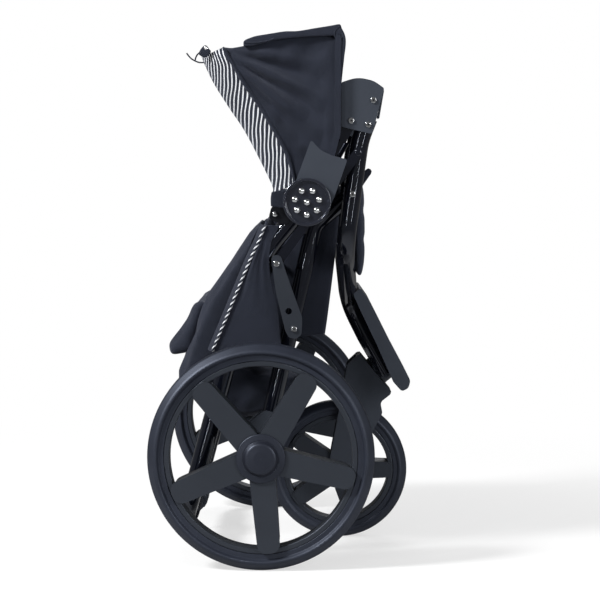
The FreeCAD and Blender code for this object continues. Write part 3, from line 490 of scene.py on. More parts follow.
def prism(name, outline, low_y, high_y, key, inset=0.0, edge=12.0):
    """A closed solid from a side outline in millimetres, pulled in by inset at both ends."""
    build = bmesh.new()
    rings = []
    centre = Vector((sum(p[0] for p in outline) / len(outline), sum(p[1] for p in outline) / len(outline)))
    for y, pull in ((low_y, inset), (low_y + edge, 0), (high_y - edge, 0), (high_y, inset)):
        ring = []
        for x, z in outline:
            away = Vector((x, z)) - centre
            place = centre + away * (1 - pull / max(away.length, 1.0))
            ring.append(build.verts.new(at(place.x, y, place.y)))
        rings.append(ring)
    count = len(outline)
    for first, second in zip(rings, rings[1:]):
        for index in range(count):
            other = (index + 1) % count
            build.faces.new((first[index], first[other], second[other], second[index]))
    build.faces.new(list(reversed(rings[0])))
    build.faces.new(rings[-1])
    bmesh.ops.recalc_face_normals(build, faces=build.faces)
    mesh = bpy.data.meshes.new(name)
    build.to_mesh(mesh)
    build.free()
    return add_object(name, mesh, key)


def apply_modifiers(made):
    """Replace the object's mesh by its evaluated one and drop the modifiers."""
    graph = bpy.context.evaluated_depsgraph_get()
    mesh = bpy.data.meshes.new_from_object(made.evaluated_get(graph))
    made.modifiers.clear()
    old = made.data
    made.data = mesh
    bpy.data.meshes.remove(old)


def stuff(made, cap, pressure=4.0, voxel=0.006, frames=20):
    """Puff a closed form as stuffed cloth: remesh, press from inside, cap the move, shade smooth."""
    remesh = made.modifiers.new("Even mesh", "REMESH")
    remesh.mode = "VOXEL"
    remesh.voxel_size = voxel
    apply_modifiers(made)
    start = [v.co.copy() for v in made.data.vertices]
    cloth = made.modifiers.new("Cloth", "CLOTH")
    cloth.settings.quality = 5
    cloth.settings.mass = 0.3
    cloth.settings.tension_stiffness = 12
    cloth.settings.compression_stiffness = 12
    cloth.settings.shear_stiffness = 4
    cloth.settings.bending_stiffness = 0.6
    cloth.settings.use_pressure = True
    cloth.settings.uniform_pressure_force = pressure
    cloth.settings.effector_weights.gravity = 0
    cloth.collision_settings.use_collision = False
    cloth.point_cache.frame_start = 1
    cloth.point_cache.frame_end = frames
    for number in range(1, frames + 1):
        bpy.context.scene.frame_set(number)
    apply_modifiers(made)
    bpy.context.scene.frame_set(1)
    for vert, place in zip(made.data.vertices, start):
        moved = vert.co - place
        if moved.length > cap:
            vert.co = place + moved.normalized() * cap
    for face in made.data.polygons:
        face.use_smooth = True


def wrinkle(made, depth, size, seed):
    """Shallow random creases over a soft piece, fixed by their seed."""
    mesh = made.data
    normals = [v.normal.copy() for v in mesh.vertices]
    for vert, normal in zip(mesh.vertices, normals):
        where = Vector(vert.co) / size + Vector((seed * 7.3, seed * 1.9, seed * 4.1))
        ridge = 1 - abs(noise.noise(where)) * 2.2
        soft = noise.noise(where * 0.43)
        vert.co += normal * depth * (ridge * 0.5 + soft * 0.6 - 0.35)
    mesh.update()


def smooth_over(made, levels=1):
    """Round a mesh by subdivision."""
    soft = made.modifiers.new("Soft", "SUBSURF")
    soft.levels = levels
    soft.render_levels = levels


# ---- hard parts -------------------------------------------------------------


def both(name):
    """The right and the left node of a pair."""
    return [name + "_right", name + "_left"]


def dress_wheels():
    """Finishes of the three wheels."""
    finish_node("tyre", "front_tyre", *both("rear_tyre"))
    finish_node("wheel", "front_rim", *both("rear_rim"))
    finish_node("cap", *both("rear_hub_cap"))


def dress_frame():
    """Finishes of tubes, mouldings, screws, shafts, bows and grip."""
    finish_node("enamel", "handle_bar", "rear_cross_tube", *both("front_leg"), *both("rear_leg"),
                *both("handle_tube"), *both("seat_rail"))
    finish_node("moulding", "footrest", "caster_housing", "caster_fork", "brake_pedal", "fold_trigger",
                "trigger_collars", *both("leg_socket"), *both("fold_bracket"),
                *both("hub_plate"))
    finish_node("steel", "bracket_screws", "handle_pivot_bolts", "leg_pivot_bolts", "link_studs",
                "link_top_screws", "hub_studs")
    finish_node("black", "rear_axle", "brake_shaft", "front_axle_bolt", "swivel_stem", "seat_rods",
                "strap_brackets")
    finish_node("wheel", *both("fold_link"))
    finish_node("cloth", *both("canopy_bow"))
    finish_node("foam", "foam_grip")
    finish_node("gloss", *both("hub_disc"))


def disc(name, x, z, radius, low, high, key, dome=0.0):
    """A round button standing along Y between two distances in millimetres, its outer end domed."""
    sides = 28
    outward = 1 if high > low else -1
    rows = []
    for y, share in ((low, 1.0), (high - outward * 0.3, 1.0), (high, 0.9), (high + outward * dome * 0.6, 0.6),
                     (high + outward * dome, 0.02)):
        rows.append([at(x + radius * share * math.cos(2 * math.pi * step / sides), y,
                        z + radius * share * math.sin(2 * math.pi * step / sides))
                     for step in range(sides)])
    made = grid_object(name, rows, key, closed=True)
    mend(made, merge=False)
    return made


# Each screw whose socket is drawn as a black disc of painted shade: its name, place in X and Z, the CAD node
# that carries its head, and the body it rides.
SHADED_SOCKETS = (("bracket_high", 151.4, 631.0, "bracket_screws", "front_frame"),
            ("bracket_low", 144.5, 598.0, "bracket_screws", "front_frame"),
            ("handle_pivot", 121.4, 603.3, "handle_pivot_bolts", "front_frame"),
            ("leg_pivot", 123.5, 503.8, "leg_pivot_bolts", "front_frame"),
            ("link_foot", 43.8, 320.9, "link_studs", "rear_legs"))


SOCKET_SHADE_RADIUS = 1.3
# Domed studs on each hub disc: one in the middle and the rest on a circle, turned by some degrees.
STUDS_ROUND = 7
STUD_CIRCLE = 17.0
STUD_TURN = 12
STUD_RADIUS = 4.3
STUD_DOME = 2.2
# Distance of the seat rails' outer faces from the middle.
RAIL_FACE = 226.0
SIDES = ((-1, "right"), (1, "left"))


def outer_faces(node):
    """For each side: its sign, its name and how far out the node reaches, in millimetres."""
    low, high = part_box(node)
    return (-1, "right", low[1] / MM), (1, "left", high[1] / MM)


def dress_screws():
    """Black discs of painted shade in the screw heads' sockets, caps on the rail pivots, and the plated studs
    and strap screws.
    """
    for name, x, z, node, body in SHADED_SOCKETS:
        for side, tag, outer in outer_faces(node):
            # A flat black disc, flush with the head, paints the shade that falls inside the socket.
            made = disc("socket_%s_%s" % (name, tag), x, z, SOCKET_SHADE_RADIUS, outer - side * 0.3,
                        outer + side * 0.06, "black")
            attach(made, body)
    for side, tag in SIDES:
        made = disc("rail_pivot_cap_" + tag, *RAIL_PIVOT, 4.6, side * RAIL_FACE, side * (RAIL_FACE + 0.5),
                    "enamel", 0.5)
        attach(made, "front_frame")
    for index in range(STUDS_ROUND + 1):
        reach = STUD_CIRCLE if index else 0.0
        turn = math.radians(STUD_TURN + 360 / STUDS_ROUND * index)
        x, z = HUB[0] + reach * math.cos(turn), HUB[1] + reach * math.sin(turn)
        for side, tag, outer in outer_faces("hub_studs"):
            made = disc("stud_%d_%s" % (index, tag), x, z, STUD_RADIUS, outer - side * 0.4,
                        outer + side * 0.3, "steel", STUD_DOME)
            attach(made, "handle")
    for side, tag, outer in outer_faces("strap_brackets"):
        made = disc("strap_screw_" + tag, *STRAP_SCREW, 3.6, outer - side * 0.4, outer + side * 0.8,
                    "steel", 0.9)
        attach(made, "handle")


# ---- hood -------------------------------------------------------------------

HOOD_OUTER = [(15, 505), (13.5, 517), (-8, 561), (-26, 594), (-43, 619), (-64, 652), (-76, 676), (-83, 693)]
HOOD_BINDING = [(45, 516), (42.5, 532), (31, 564), (4, 612), (-23.5, 653), (-52, 702)]
HOOD_FRONT = [(72, 492), (92, 556), (104.5, 590), (106.5, 640), (107, 713)]
HOOD_ROOF = [(-52, 702), (-40, 701), (-22, 704), (-4, 708), (20, 713), (44, 716), (80, 717.5), (107, 713)]
TAIL_REAR = [(13.2, 507), (11.9, 498), (12.2, 487)]
TAIL_FRONT = [(82, 520), (77, 502), (72, 486)]
HOOD_ROWS = 96
HOOD_COLUMNS = 64
HOOD_Y = 228.0
# Steps round the drape's rear corner.
CORNER_STEPS = 12
# The top corner from which the side panel's creases fan out.
CREASE_CORNER = (-74, 706)
# Creases of the side panel: direction in degrees from the gathered corner, width and depth.
CREASES = ((-9, 4.2, 2.2), (-17, 3.0, -1.6), (-25, 2.7, 3.0), (-31, 2.2, -2.4), (-37.5, 2.8, 3.6),
           (-44, 2.6, -3.0), (-51, 3.0, 3.4), (-57, 2.4, -2.0))


def flat_curve(points, count):
    """Places evenly spread along a smooth curve in the side plane."""
    return [(p.x, p.y) for p in spline([(x, z, 0) for x, z in points], count)]


def crease(x, z):
    """Depth of the side panel's creases, which fan out from the gathered top corner."""
    over, up = x - CREASE_CORNER[0], z - CREASE_CORNER[1]
    fan = math.degrees(math.atan2(up, over))
    reach = math.hypot(over, up)
    grow = min(1.0, max(0.0, (reach - 30) / 45)) * math.exp(-(max(0.0, reach - 95) / 62) ** 2)
    depth = sum(high * math.exp(-((fan - line) / wide) ** 2) for line, wide, high in CREASES)
    slack = 2.4 * noise.noise(Vector((x / 44, z / 58, 2.7)))
    slack += 0.8 * noise.noise(Vector((x / 17, z / 26, 5.1)))
    return depth * grow + slack


def hood_section(row, outer, binding, front, roof):
    """Half a section of the hood, front edge to the middle of the back."""
    t = row / (HOOD_ROWS - 1)
    top = max(0.0, (t - 0.9) / 0.1)
    half = HOOD_Y - 7 * top * top
    lift = max(0.0, (t - 0.72) / 0.28) ** 2
    places = []
    for step in range(HOOD_COLUMNS):
        s = step / (HOOD_COLUMNS - 1)
        x = front[0] + (binding[0] - front[0]) * s
        z = front[1] + (binding[1] - front[1]) * s
        z += lift * (roof[HOOD_COLUMNS - 1 - step][1] - (roof[-1][1] + (roof[0][1] - roof[-1][1]) * s))
        rim = min(1.0, 6 * s * (1 - s), 5 * t, 1 - 0.7 * top)
        y = HOOD_Y + 0.6 - 7 * top * top * s ** 4 - 0.6 * s - rim * 4.4 + rim * 2.3 * crease(x, z)
        if x > 80:
            y = min(y, 228.4)
        places.append((x, -min(y, 229.6), z))
    depth = 34.0
    for step in range(1, CORNER_STEPS + 1):
        a = math.pi / 2 * step / CORNER_STEPS
        x = binding[0] + (outer[0] - binding[0]) * math.sin(a)
        z = binding[1] + (outer[1] - binding[1]) * math.sin(a)
        if t > 0.9:
            z -= 2.6 * top * math.sin(2 * a)
        y = half - depth * (1 - math.cos(a))
        ripple = 1.3 * math.sin(x / 5.2 + z / 40) * (0.4 + 1.2 * t * t)
        places.append((x, -y - ripple * 0.4, z))
    back = half - depth
    for step in range(1, 15):
        s = step / 14
        y = back * (1 - s)
        sag = 5 * math.sin(math.pi / 2 * s) * (0.4 + 0.6 * math.sin(math.pi * t))
        places.append((outer[0] + sag, -y, outer[1] + 0.3 * sag))
    return places


def stripe_cut(x, z, inward):
    """Cut coordinates of the striped cloth: across the stripes, then along them."""
    near = math.exp(-math.hypot(x + 80, z - 700) / 26)
    gather = near * (1.5 * (x + 80) + 0.9 * (z - 700) + 2.2 * math.sin(z / 4.2 + x / 9))
    waver = 0.7 * math.sin(z / 13 + x / 15) + 0.4 * math.sin(z / 5.5 - x / 7)
    lean = -(z - 600) * 0.12 * (0.3 + 0.7 * min(1.0, max(0.0, (z - 560) / 100)))
    return ((x + lean + gather + waver - inward) * MM, z * MM)


def build_hood():
    """The rear hood: one sheet round both sides and the back, with its roof."""
    outer = flat_curve(HOOD_OUTER, HOOD_ROWS)
    binding = flat_curve(HOOD_BINDING, HOOD_ROWS)
    front = flat_curve(HOOD_FRONT, HOOD_ROWS)
    line = flat_curve(HOOD_ROOF, HOOD_COLUMNS)
    sections = [hood_section(row, outer[row], binding[row], front[row], line) for row in range(HOOD_ROWS)]
    plain = HOOD_COLUMNS
    for side, tag in SIDES:
        rows = [[at(x, y * -side, z) for x, y, z in row[:plain]] for row in sections]
        panel = grid_object("hood_side_" + tag, rows, "cloth")
        thicken(panel, fabric().cloth_thickness, 0)
        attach(panel, "canopy")
        tail = []
        for (xa, za), (xb, zb) in zip(flat_curve(TAIL_REAR, 12), flat_curve(TAIL_FRONT, 12)):
            line_here = []
            for step in range(14):
                s = step / 13
                wave = 0.8 * noise.noise(Vector((xa / 9 + step / 2.2, za / 21, 1.3)))
                sag = 2.5 * math.sin(math.pi * s) * (530 - za) / 45
                line_here.append(at(xa + (xb - xa) * s, side * (227.6 + wave), za + (zb - za) * s - sag))
            tail.append(line_here)
        low = grid_object("hood_tail_" + tag, tail, "cloth")
        thicken(low, fabric().cloth_thickness)
        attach(low, "canopy")
    rows = []
    cut = []
    for row in sections:
        band = row[plain - 1:]
        whole = band + [(x, -y, z) for x, y, z in reversed(band[:-1])]
        wall = -band[CORNER_STEPS][1]
        flat = [stripe_cut(x, z, max(0.0, wall - abs(y))) for x, y, z in whole]
        rows.append([at(x, y, z) for x, y, z in whole])
        cut.append(flat)
    drape = grid_object("hood_drape", rows, "stripes", cut)
    thicken(drape, fabric().cloth_thickness)
    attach(drape, "canopy")
    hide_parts("canopy_rear")
    top = sections[-1]
    edge = top[:plain + CORNER_STEPS]
    rows = []
    for step in range(25):
        s = step / 24
        crown = 3.5 * math.sin(math.pi * s)
        rows.append([at(x, y + (-2 * y) * s, z + crown * min(1, (x + 90) / 60)) for x, y, z in edge])
    roof = grid_object("hood_roof", rows, "cloth")
    thicken(roof, fabric().cloth_thickness)
    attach(roof, "canopy")


def build_binding():
    """Dark bias binding over the seam between the side panels and the striped drape."""
    for side, tag in SIDES:
        places = [at(x, side * (HOOD_Y + 0.6), z) for x, z in flat_curve(HOOD_BINDING, 60)]
        made = tube_object("hood_binding_" + tag, places, 0.0024, "cloth")
        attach(made, "canopy")


TAB_OUTLINE = [(-84.8, 691.5), (-85, 695.2), (-82.4, 699.9), (-79.4, 703.2), (-76.1, 704.9), (-72.9, 703.2),
               (-71.2, 699.8), (-68.5, 697.2), (-70.5, 692), (-77, 688)]
# The eyelet's middle, the radius of its hole and the radius of its rim.
EYELET = (-75.6, 701.4)
EYELET_HOLE = 1.9
EYELET_RIM = 2.3


def build_ear():
    """The tab at the drape's top corners with its eyelet, which takes the elastic."""
    count = 48
    hole_x, hole_z = EYELET
    ring = flat_curve(TAB_OUTLINE + TAB_OUTLINE[:1], count + 1)[:count]
    start = min(range(count), key=lambda n: abs(math.atan2(ring[n][1] - hole_z, ring[n][0] - hole_x)))
    for side, tag in SIDES:
        rows = []
        cut = []
        for share in (0.0, 0.12, 0.45, 1.0):
            line = []
            flat = []
            for step in range(count):
                x, z = ring[(start + step) % count]
                angle = math.atan2(z - hole_z, x - hole_x)
                px = hole_x + EYELET_HOLE * math.cos(angle)
                pz = hole_z + EYELET_HOLE * math.sin(angle)
                line.append(at(px + (x - px) * share, side * (222.6 - 0.6 * share), pz + (z - pz) * share))
                flat.append(stripe_cut(x, z, 0))
            rows.append(line)
            cut.append(flat)
        tab = grid_object("hood_tab_" + tag, rows, "cloth", cut, closed=True)
        thicken(tab, 0.0016)
        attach(tab, "canopy")
        places = [at(hole_x + EYELET_RIM * math.cos(2 * math.pi * step / 36), side * 223.0,
                     hole_z + EYELET_RIM * math.sin(2 * math.pi * step / 36)) for step in range(37)]
        rim = tube_object("hood_eyelet_" + tag, places, 0.0007, "steel", 8)
        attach(rim, "canopy")


FLAP_TOP = [(-24, 703.4), (-25.2, 707), (-23.5, 711), (-17, 713.8), (-8, 717), (11, 720.4), (31, 723.2),
            (49, 723.6), (72, 727.8), (92, 731), (107.6, 733.8), (107.2, 729.6), (111.4, 722.4), (113.9, 714),
            (113.8, 704), (112, 690), (110.2, 678)]
FLAP_UNDER = [(-24, 703.4), (-22, 703.6), (-14, 705.8), (4, 710.4), (24, 715), (50, 717.8), (80, 719.2),
              (98, 719.4), (105, 718.6), (108.2, 716), (108.8, 710), (108.8, 700), (108.4, 678)]


FLAP_POINTS = 48
BOW_FRONT = [(113.2, 707), (112, 690), (109.6, 668), (108, 652), (106.6, 628), (105, 600), (101.5, 574)]
BOW_BACK = [(101, 716), (101.4, 690), (101.6, 640), (100, 600), (96, 576)]
# Piped seams at the flap's side: up the bow and along the hem; their distance from the middle.
FLAP_SEAM = [(101, 578), (102.2, 600), (102.8, 631), (102.6, 680), (102, 708), (99, 716), (98.6, 722),
             (102, 727), (106.4, 730.6)]
FLAP_HEM = [(-23.5, 708), (-12, 707.8), (-2, 708.4), (8, 710.2), (17, 713.2)]
SEAM_Y = 233.1


def build_flap():
    """The front flap of the hood, folded back over the roof, and the covered bow's sides."""
    top = flat_curve(FLAP_TOP, FLAP_POINTS)
    under = flat_curve(FLAP_UNDER, FLAP_POINTS)
    ring = top + list(reversed(under))
    rows = []
    across = [-233, -232.4, -231, -229.9] + [HOOD_Y * (step / 28 - 1) for step in range(57)]
    across += [229.9, 231, 232.4, 233]
    for place, y in enumerate([-233.2] + across + [233.2]):
        end = max(0, min(1, (233 - abs(y)) / 10))
        pull = 0.0 if place in (0, len(across) + 1) else 1 - 0.16 * (1 - end) ** 2
        hem = 3.4 if abs(y) > 229.5 else 0.0
        rows_here = []
        for index, (x, z) in enumerate(ring):
            mate = under[index] if index < FLAP_POINTS else top[len(ring) - 1 - index]
            cx = (x + mate[0]) / 2
            cz = (z + mate[1]) / 2
            ripple = noise.noise(Vector((x / 26, y / 60, z / 30))) * 1.6 * end if index < FLAP_POINTS else 0
            drop = hem * min(1, max(0, (x + 25) / 12)) * min(1, max(0, (108 - x) / 12))
            drop *= pull if index >= FLAP_POINTS else 0.0
            rows_here.append(at(cx + (x - cx) * pull, y, cz + (z - cz) * pull + ripple - drop))
        rows.append(rows_here)
    flap = grid_object("hood_flap", rows, "cloth", closed=True)
    mend(flap, fill=False)
    smooth_over(flap)
    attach(flap, "canopy_front")
    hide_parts("canopy_flap")
    for side, tag in SIDES:
        front = flat_curve(BOW_FRONT, 30)
        back = flat_curve(BOW_BACK, 30)
        rows = []
        for (xa, za), (xb, zb) in zip(front, back):
            line = []
            for step in range(8):
                s = step / 7
                bulge = 1.1 * math.sin(math.pi * s)
                line.append(at(xa + (xb - xa) * s, side * (231.2 + bulge), za + (zb - za) * s))
            rows.append(line)
        band = grid_object("bow_cover_" + tag, rows, "cloth")
        thicken(band, fabric().cloth_thickness)
        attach(band, "canopy_front")
        for name, route, count in (("flap_seam_", FLAP_SEAM, 80), ("flap_hem_", FLAP_HEM, 50)):
            places = [at(x, side * SEAM_Y, z) for x, z in flat_curve(route, count)]
            seam = tube_object(name + tag, places, 0.0009, "cloth", 8)
            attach(seam, "canopy_front")


# The elastic: its free strand from inside the drape to its loose end, and the strand sewn to the tab.
STRAND = ((-76.9, 683.1), (-82.0, 682.6), (-86.6, 683.0), (-92.0, 685.2), (-98.4, 689.2), (-102.8, 695.6))
SEWN_STRAND = ((-83.6, 697.6), (-88.2, 693.4), (-90.6, 688.6), (-91.0, 685.6))
CORD_SIDE = -200
CORD_DIAMETER = 0.002


def build_cord():
    """The thin elastic at the hood's rear corner, its two strands knotted together."""
    curve = bpy.data.curves.new("hood_elastic", "CURVE")
    curve.dimensions = "3D"
    curve.bevel_depth = CORD_DIAMETER / 2
    curve.bevel_resolution = 4
    curve.use_fill_caps = True
    line = curve.splines.new("NURBS")
    line.points.add(len(STRAND) - 1)
    for point, (x, z) in zip(line.points, STRAND):
        point.co = (*at(x, CORD_SIDE, z), 1)
    line.order_u = 3
    line.use_endpoint_u = True
    line.resolution_u = 16
    curve.materials.append(material("cloth"))
    made = bpy.data.objects.new("hood_elastic", curve)
    bpy.context.scene.collection.objects.link(made)
    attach(made, "canopy")
    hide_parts("canopy_cord")
    x, z = STRAND[0]
    places = [at(p.x, CORD_SIDE, p.y) for p in spline([(x, z, 0) for x, z in SEWN_STRAND], 24)]
    sewn = tube_object("hood_elastic_sewn", places, CORD_DIAMETER / 2, "cloth", 10)
    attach(sewn, "canopy")


# ---- seat and back ----------------------------------------------------------

BACK_OUTLINE = [(0.4, 474), (-8, 459), (-19, 438), (-36, 411), (-53, 386), (-72, 360), (-86, 328),
                (-100, 290), (-110, 262), (-124, 237), (-116, 236), (-88, 264), (-62, 283), (-52, 300),
                (-44, 332), (-30, 372), (-18, 410), (-9, 445), (0, 460)]
# The side of the back over each handle tube: rear edge, front edge and distance from the middle.
GUSSET_REAR = [(5, 462), (0, 450), (-5, 438), (-17, 412), (-36, 366), (-52, 327), (-68, 289)]
GUSSET_FRONT = [(25, 461), (19, 450), (13, 438), (10, 412), (14, 380), (22, 345), (27, 289)]
GUSSET_Y = 218.1
# How the gusset turns in behind the tube: step back from the rear edge, distance out, step up.
GUSSET_TURN = ((7.5, 193.0, 1), (6.2, 200.0, 1), (4.6, 208.0, 0), (2.8, 214.0, 0), (1.2, 217.2, 0))


def build_backrest():
    """The slack backrest behind the handle tubes, edged with twisted piping."""
    body = prism("backrest_cloth", BACK_OUTLINE, -188, 188, "cloth", inset=3.0)
    stuff(body, cap=0.006)
    wrinkle(body, 0.0045, 0.055, 3)
    smooth_over(body)
    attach(body, "back")
    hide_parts("backrest")
    for side, tag in SIDES:
        build_gusset(side, tag)
        places = [at(p.x, side * (GUSSET_Y + 1.9), p.y)
                  for p in spline([(x, z, 0) for x, z in GUSSET_REAR], 70)]
        cord = tube_object("back_piping_" + tag, places, fabric().piping / 2, "twist", 16,
                           -2 * PIPING_LAY)
        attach(cord, "handle")


def build_gusset(side, tag):
    """The slack side of the back, from its piped edge over the handle tube, in one turned sheet."""
    rows = []
    count = 60
    rear = spline([(x, z, 0) for x, z in GUSSET_REAR], count)
    front = spline([(x, z, 0) for x, z in GUSSET_FRONT], count)
    for row in range(count):
        t = row / (count - 1)
        back, fore = rear[row], front[row]
        line = [(back.x - behind, y, back.y + up) for behind, y, up in GUSSET_TURN]
        for step in range(31):
            s = step / 30
            x = back.x + (fore.x - back.x) * s
            z = back.y + (fore.y - back.y) * s
            slack = math.sin(math.pi * min(1, s * 1.15) ** 0.8)
            slack *= math.sin(math.pi * min(1, 1.3 * t) ** 0.7)
            fold = 0.5 + 0.5 * math.sin(9.5 * s - 5.2 * t + 1.2 * math.sin(5 * t))
            small = 0.5 + 0.5 * math.sin(24 * s + 7 * t + 1.6 * math.sin(8 * t))
            slack *= max(0.0, min(1.0, (11 - x) / 14)) if z > 398 else 1.0
            line.append((x, GUSSET_Y + max(0, slack) * (3.2 * fold + 0.9 * small), z))
        rows.append([at(x, side * y, z) for x, y, z in line])
    made = grid_object("back_gusset_" + tag, rows, "cloth")
    thicken(made, 0.0007)
    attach(made, "handle")


POCKET_OUTLINE = [(-75, 360), (-84, 356), (-93, 350), (-103, 326), (-115, 309), (-128, 292), (-134, 285),
                  (-131, 278), (-117, 281), (-105, 284), (-97, 304), (-88, 328)]


def build_back_flap():
    """The pocket flap that stands off the backrest."""
    body = prism("back_pocket_flap", POCKET_OUTLINE, -166, 166, "cloth", inset=3.0)
    stuff(body, cap=0.004)
    wrinkle(body, 0.003, 0.04, 8)
    smooth_over(body)
    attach(body, "back")
    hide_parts("back_flap")


def pad(name, outline, half, key, body_name, node, cap, seed, channels=()):
    """A sewn pad: puffed, creased, with channels sewn across it at the given heights."""
    made = prism(name, outline, -half, half, key, inset=2.0)
    stuff(made, cap=cap)
    for x, z, reach in channels:
        line = at(x, 0, z)
        for vert in made.data.vertices:
            away = math.hypot(vert.co.x - line.x, vert.co.z - line.z)
            if away < reach * MM:
                vert.co += -vert.normal * 0.0022 * (1 + math.cos(math.pi * away / (reach * MM))) / 2
    wrinkle(made, 0.0016, 0.05, seed)
    smooth_over(made)
    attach(made, body_name)
    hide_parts(node)
    return made


def build_seat():
    """Seat pan over the cross rods."""
    pad("seat_pad", [(19, 404), (13, 412), (96, 525), (104, 529), (108, 521), (24, 405)], 156, "cloth",
        "seat", "seat_pan", 0.003, 5)


SKIRT_REAR = [(15, 304), (7.4, 350), (7.8, 384), (15, 398), (34, 418), (60, 454), (90, 495), (105, 515)]
# Half width of the skirt, its corner's radius and how far the corner starts behind the front.
SKIRT_HALF = 157.7
SKIRT_ROUND = 4.5
SKIRT_CORNER = 6
SKIRT_FRONT = [(87.5, 307.5), (91.5, 335), (97.8, 385), (103, 428), (107, 470), (108.8, 500), (109, 515)]


def build_skirt():
    """The fabric sides and front apron under the seat, in one sheet round three sides."""
    rows = []
    count = 40
    for row, (rear, front) in enumerate(zip(flat_curve(SKIRT_REAR, count), flat_curve(SKIRT_FRONT, count))):
        t = row / (count - 1)
        line = []
        for step in range(16):
            s = step / 15
            x = rear[0] + (front[0] - SKIRT_CORNER - rear[0]) * s
            z = rear[1] + (front[1] - rear[1]) * s
            fold = 0.9 * math.sin(x / 5.5 + z / 60) * math.sin(math.pi * min(1, 1.2 * (1 - t)))
            line.append((x, -SKIRT_HALF - 0.3 + fold * 0.7, z))
        for step in range(1, 5):
            a = math.pi / 2 * step / 5
            line.append((front[0] - SKIRT_CORNER + SKIRT_ROUND * math.sin(a),
                         -SKIRT_HALF + SKIRT_ROUND * (1 - math.cos(a)), front[1]))
        for step in range(25):
            s = step / 24
            y = (SKIRT_ROUND - SKIRT_HALF) * (1 - s)
            sag = 2.2 * math.sin(y / 13 + 1.5 * math.sin(y / 31)) * (1 - t)
            line.append((front[0] - 1.5 - 1.4 + sag * 0.6, y, front[1]))
        whole = line + [(x, -y, z) for x, y, z in reversed(line[:-1])]
        rows.append([at(*place) for place in whole])
    skirt = grid_object("seat_skirt_cloth", rows, "cloth")
    thicken(skirt, fabric().cloth_thickness)
    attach(skirt, "seat")
    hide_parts("seat_skirt")


BASKET = [(-90, 248), (-82, 254), (-60, 265), (-38, 271), (-16, 261), (20, 251), (58, 249), (65, 239),
          (54, 216), (12, 198.5), (-30, 190.5), (-70, 188.5), (-88, 198), (-96, 222)]


def build_basket():
    """The slack shopping basket folded down between the rear legs."""
    body = prism("basket_cloth", BASKET, -150, 150, "cloth", inset=4.0, edge=18.0)
    stuff(body, cap=0.003)
    wrinkle(body, 0.004, 0.05, 12)
    smooth_over(body)
    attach(body, "rear_legs")
    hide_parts("basket")


def build_lower_back():
    """Lower half of the backrest, folded in front of the upper half."""
    pad("lower_back_pad", [(2, 463), (3, 469), (9, 469), (10, 462), (4, 400), (2, 360), (-3, 277), (-8, 277),
                           (-7, 340), (-3, 410)], 153, "cloth", "lower_back", "lower_back", 0.0015, 6)


def build_calf_panel():
    """Padded panel between the front legs."""
    # The panel takes the lighter copy of the cloth: painted light.
    pad("calf_pad", [(127, 524), (136, 525), (139, 500), (140, 470), (140.5, 420), (137, 387), (130, 387),
                     (129, 430), (128.5, 480)], 152, "painted_lit_cloth", "front_frame", "calf_panel", 0.002, 9,
        ((140, 480, 9), (140, 440, 9)))


def build_straps():
    """Webbing tabs that tie the calf panel to the legs, their free ends standing up."""
    outline = [(127.5, 506), (135, 509), (142, 520), (148, 528.5), (153, 535), (146, 541.5), (139, 533),
               (131, 521)]
    sides = [prism("tie_strap_" + tag, outline, low, low + 6.6, "cloth", edge=0.6)
             for low, tag in ((-162.2, "right"), (155.6, "left"))]
    for made in sides:
        smooth_over(made)
        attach(made, "front_frame")
    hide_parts("leg_straps")


# ---- stage ------------------------------------------------------------------


def by_ray(tree, camera, glossy, other):
    """A strength that depends on what kind of ray asks for it."""
    path = add_node(tree, "ShaderNodeLightPath")
    first = add_node(tree, "ShaderNodeMix", {"data_type": "FLOAT"}, A_Float=other, B_Float=glossy,
                     Factor_Float=path.outputs["Is Glossy Ray"])
    second = add_node(tree, "ShaderNodeMix", {"data_type": "FLOAT"}, A_Float=first.outputs[0],
                      B_Float=camera, Factor_Float=path.outputs["Is Camera Ray"])
    return second.outputs[0]


# Lights: name, place, width and height in metres, power in watts.
LIGHTS = (("key", (-2.3, -1.6, 2.5), 0.7, 0.7, 165), ("fill", (2.3, -2.1, 1.2), 1.2, 1.6, 34),
          ("back", (0.3, 2.4, 2.2), 1.6, 1.6, 26), ("strip_left", (-1.15, -2.5, 0.9), 0.025, 1.7, 8),
          ("strip_right", (1.5, -2.2, 0.8), 0.025, 1.7, 7))
# Brightness of the far floor and of the world, as the camera, a shine and everything else get it.
FLOOR_GLOW = (1.0, 0.14, 0.26)
WORLD_GLOW = (1.0, 0.14, 0.28)
# The floor turns from lit paper to plain glow between these distances, in metres, by these shares.
FLOOR_FADE = (("From Min", 0.35), ("From Max", 1.5), ("To Min", 0.62), ("To Max", 1.0))
FLOOR_HALF = 6.0


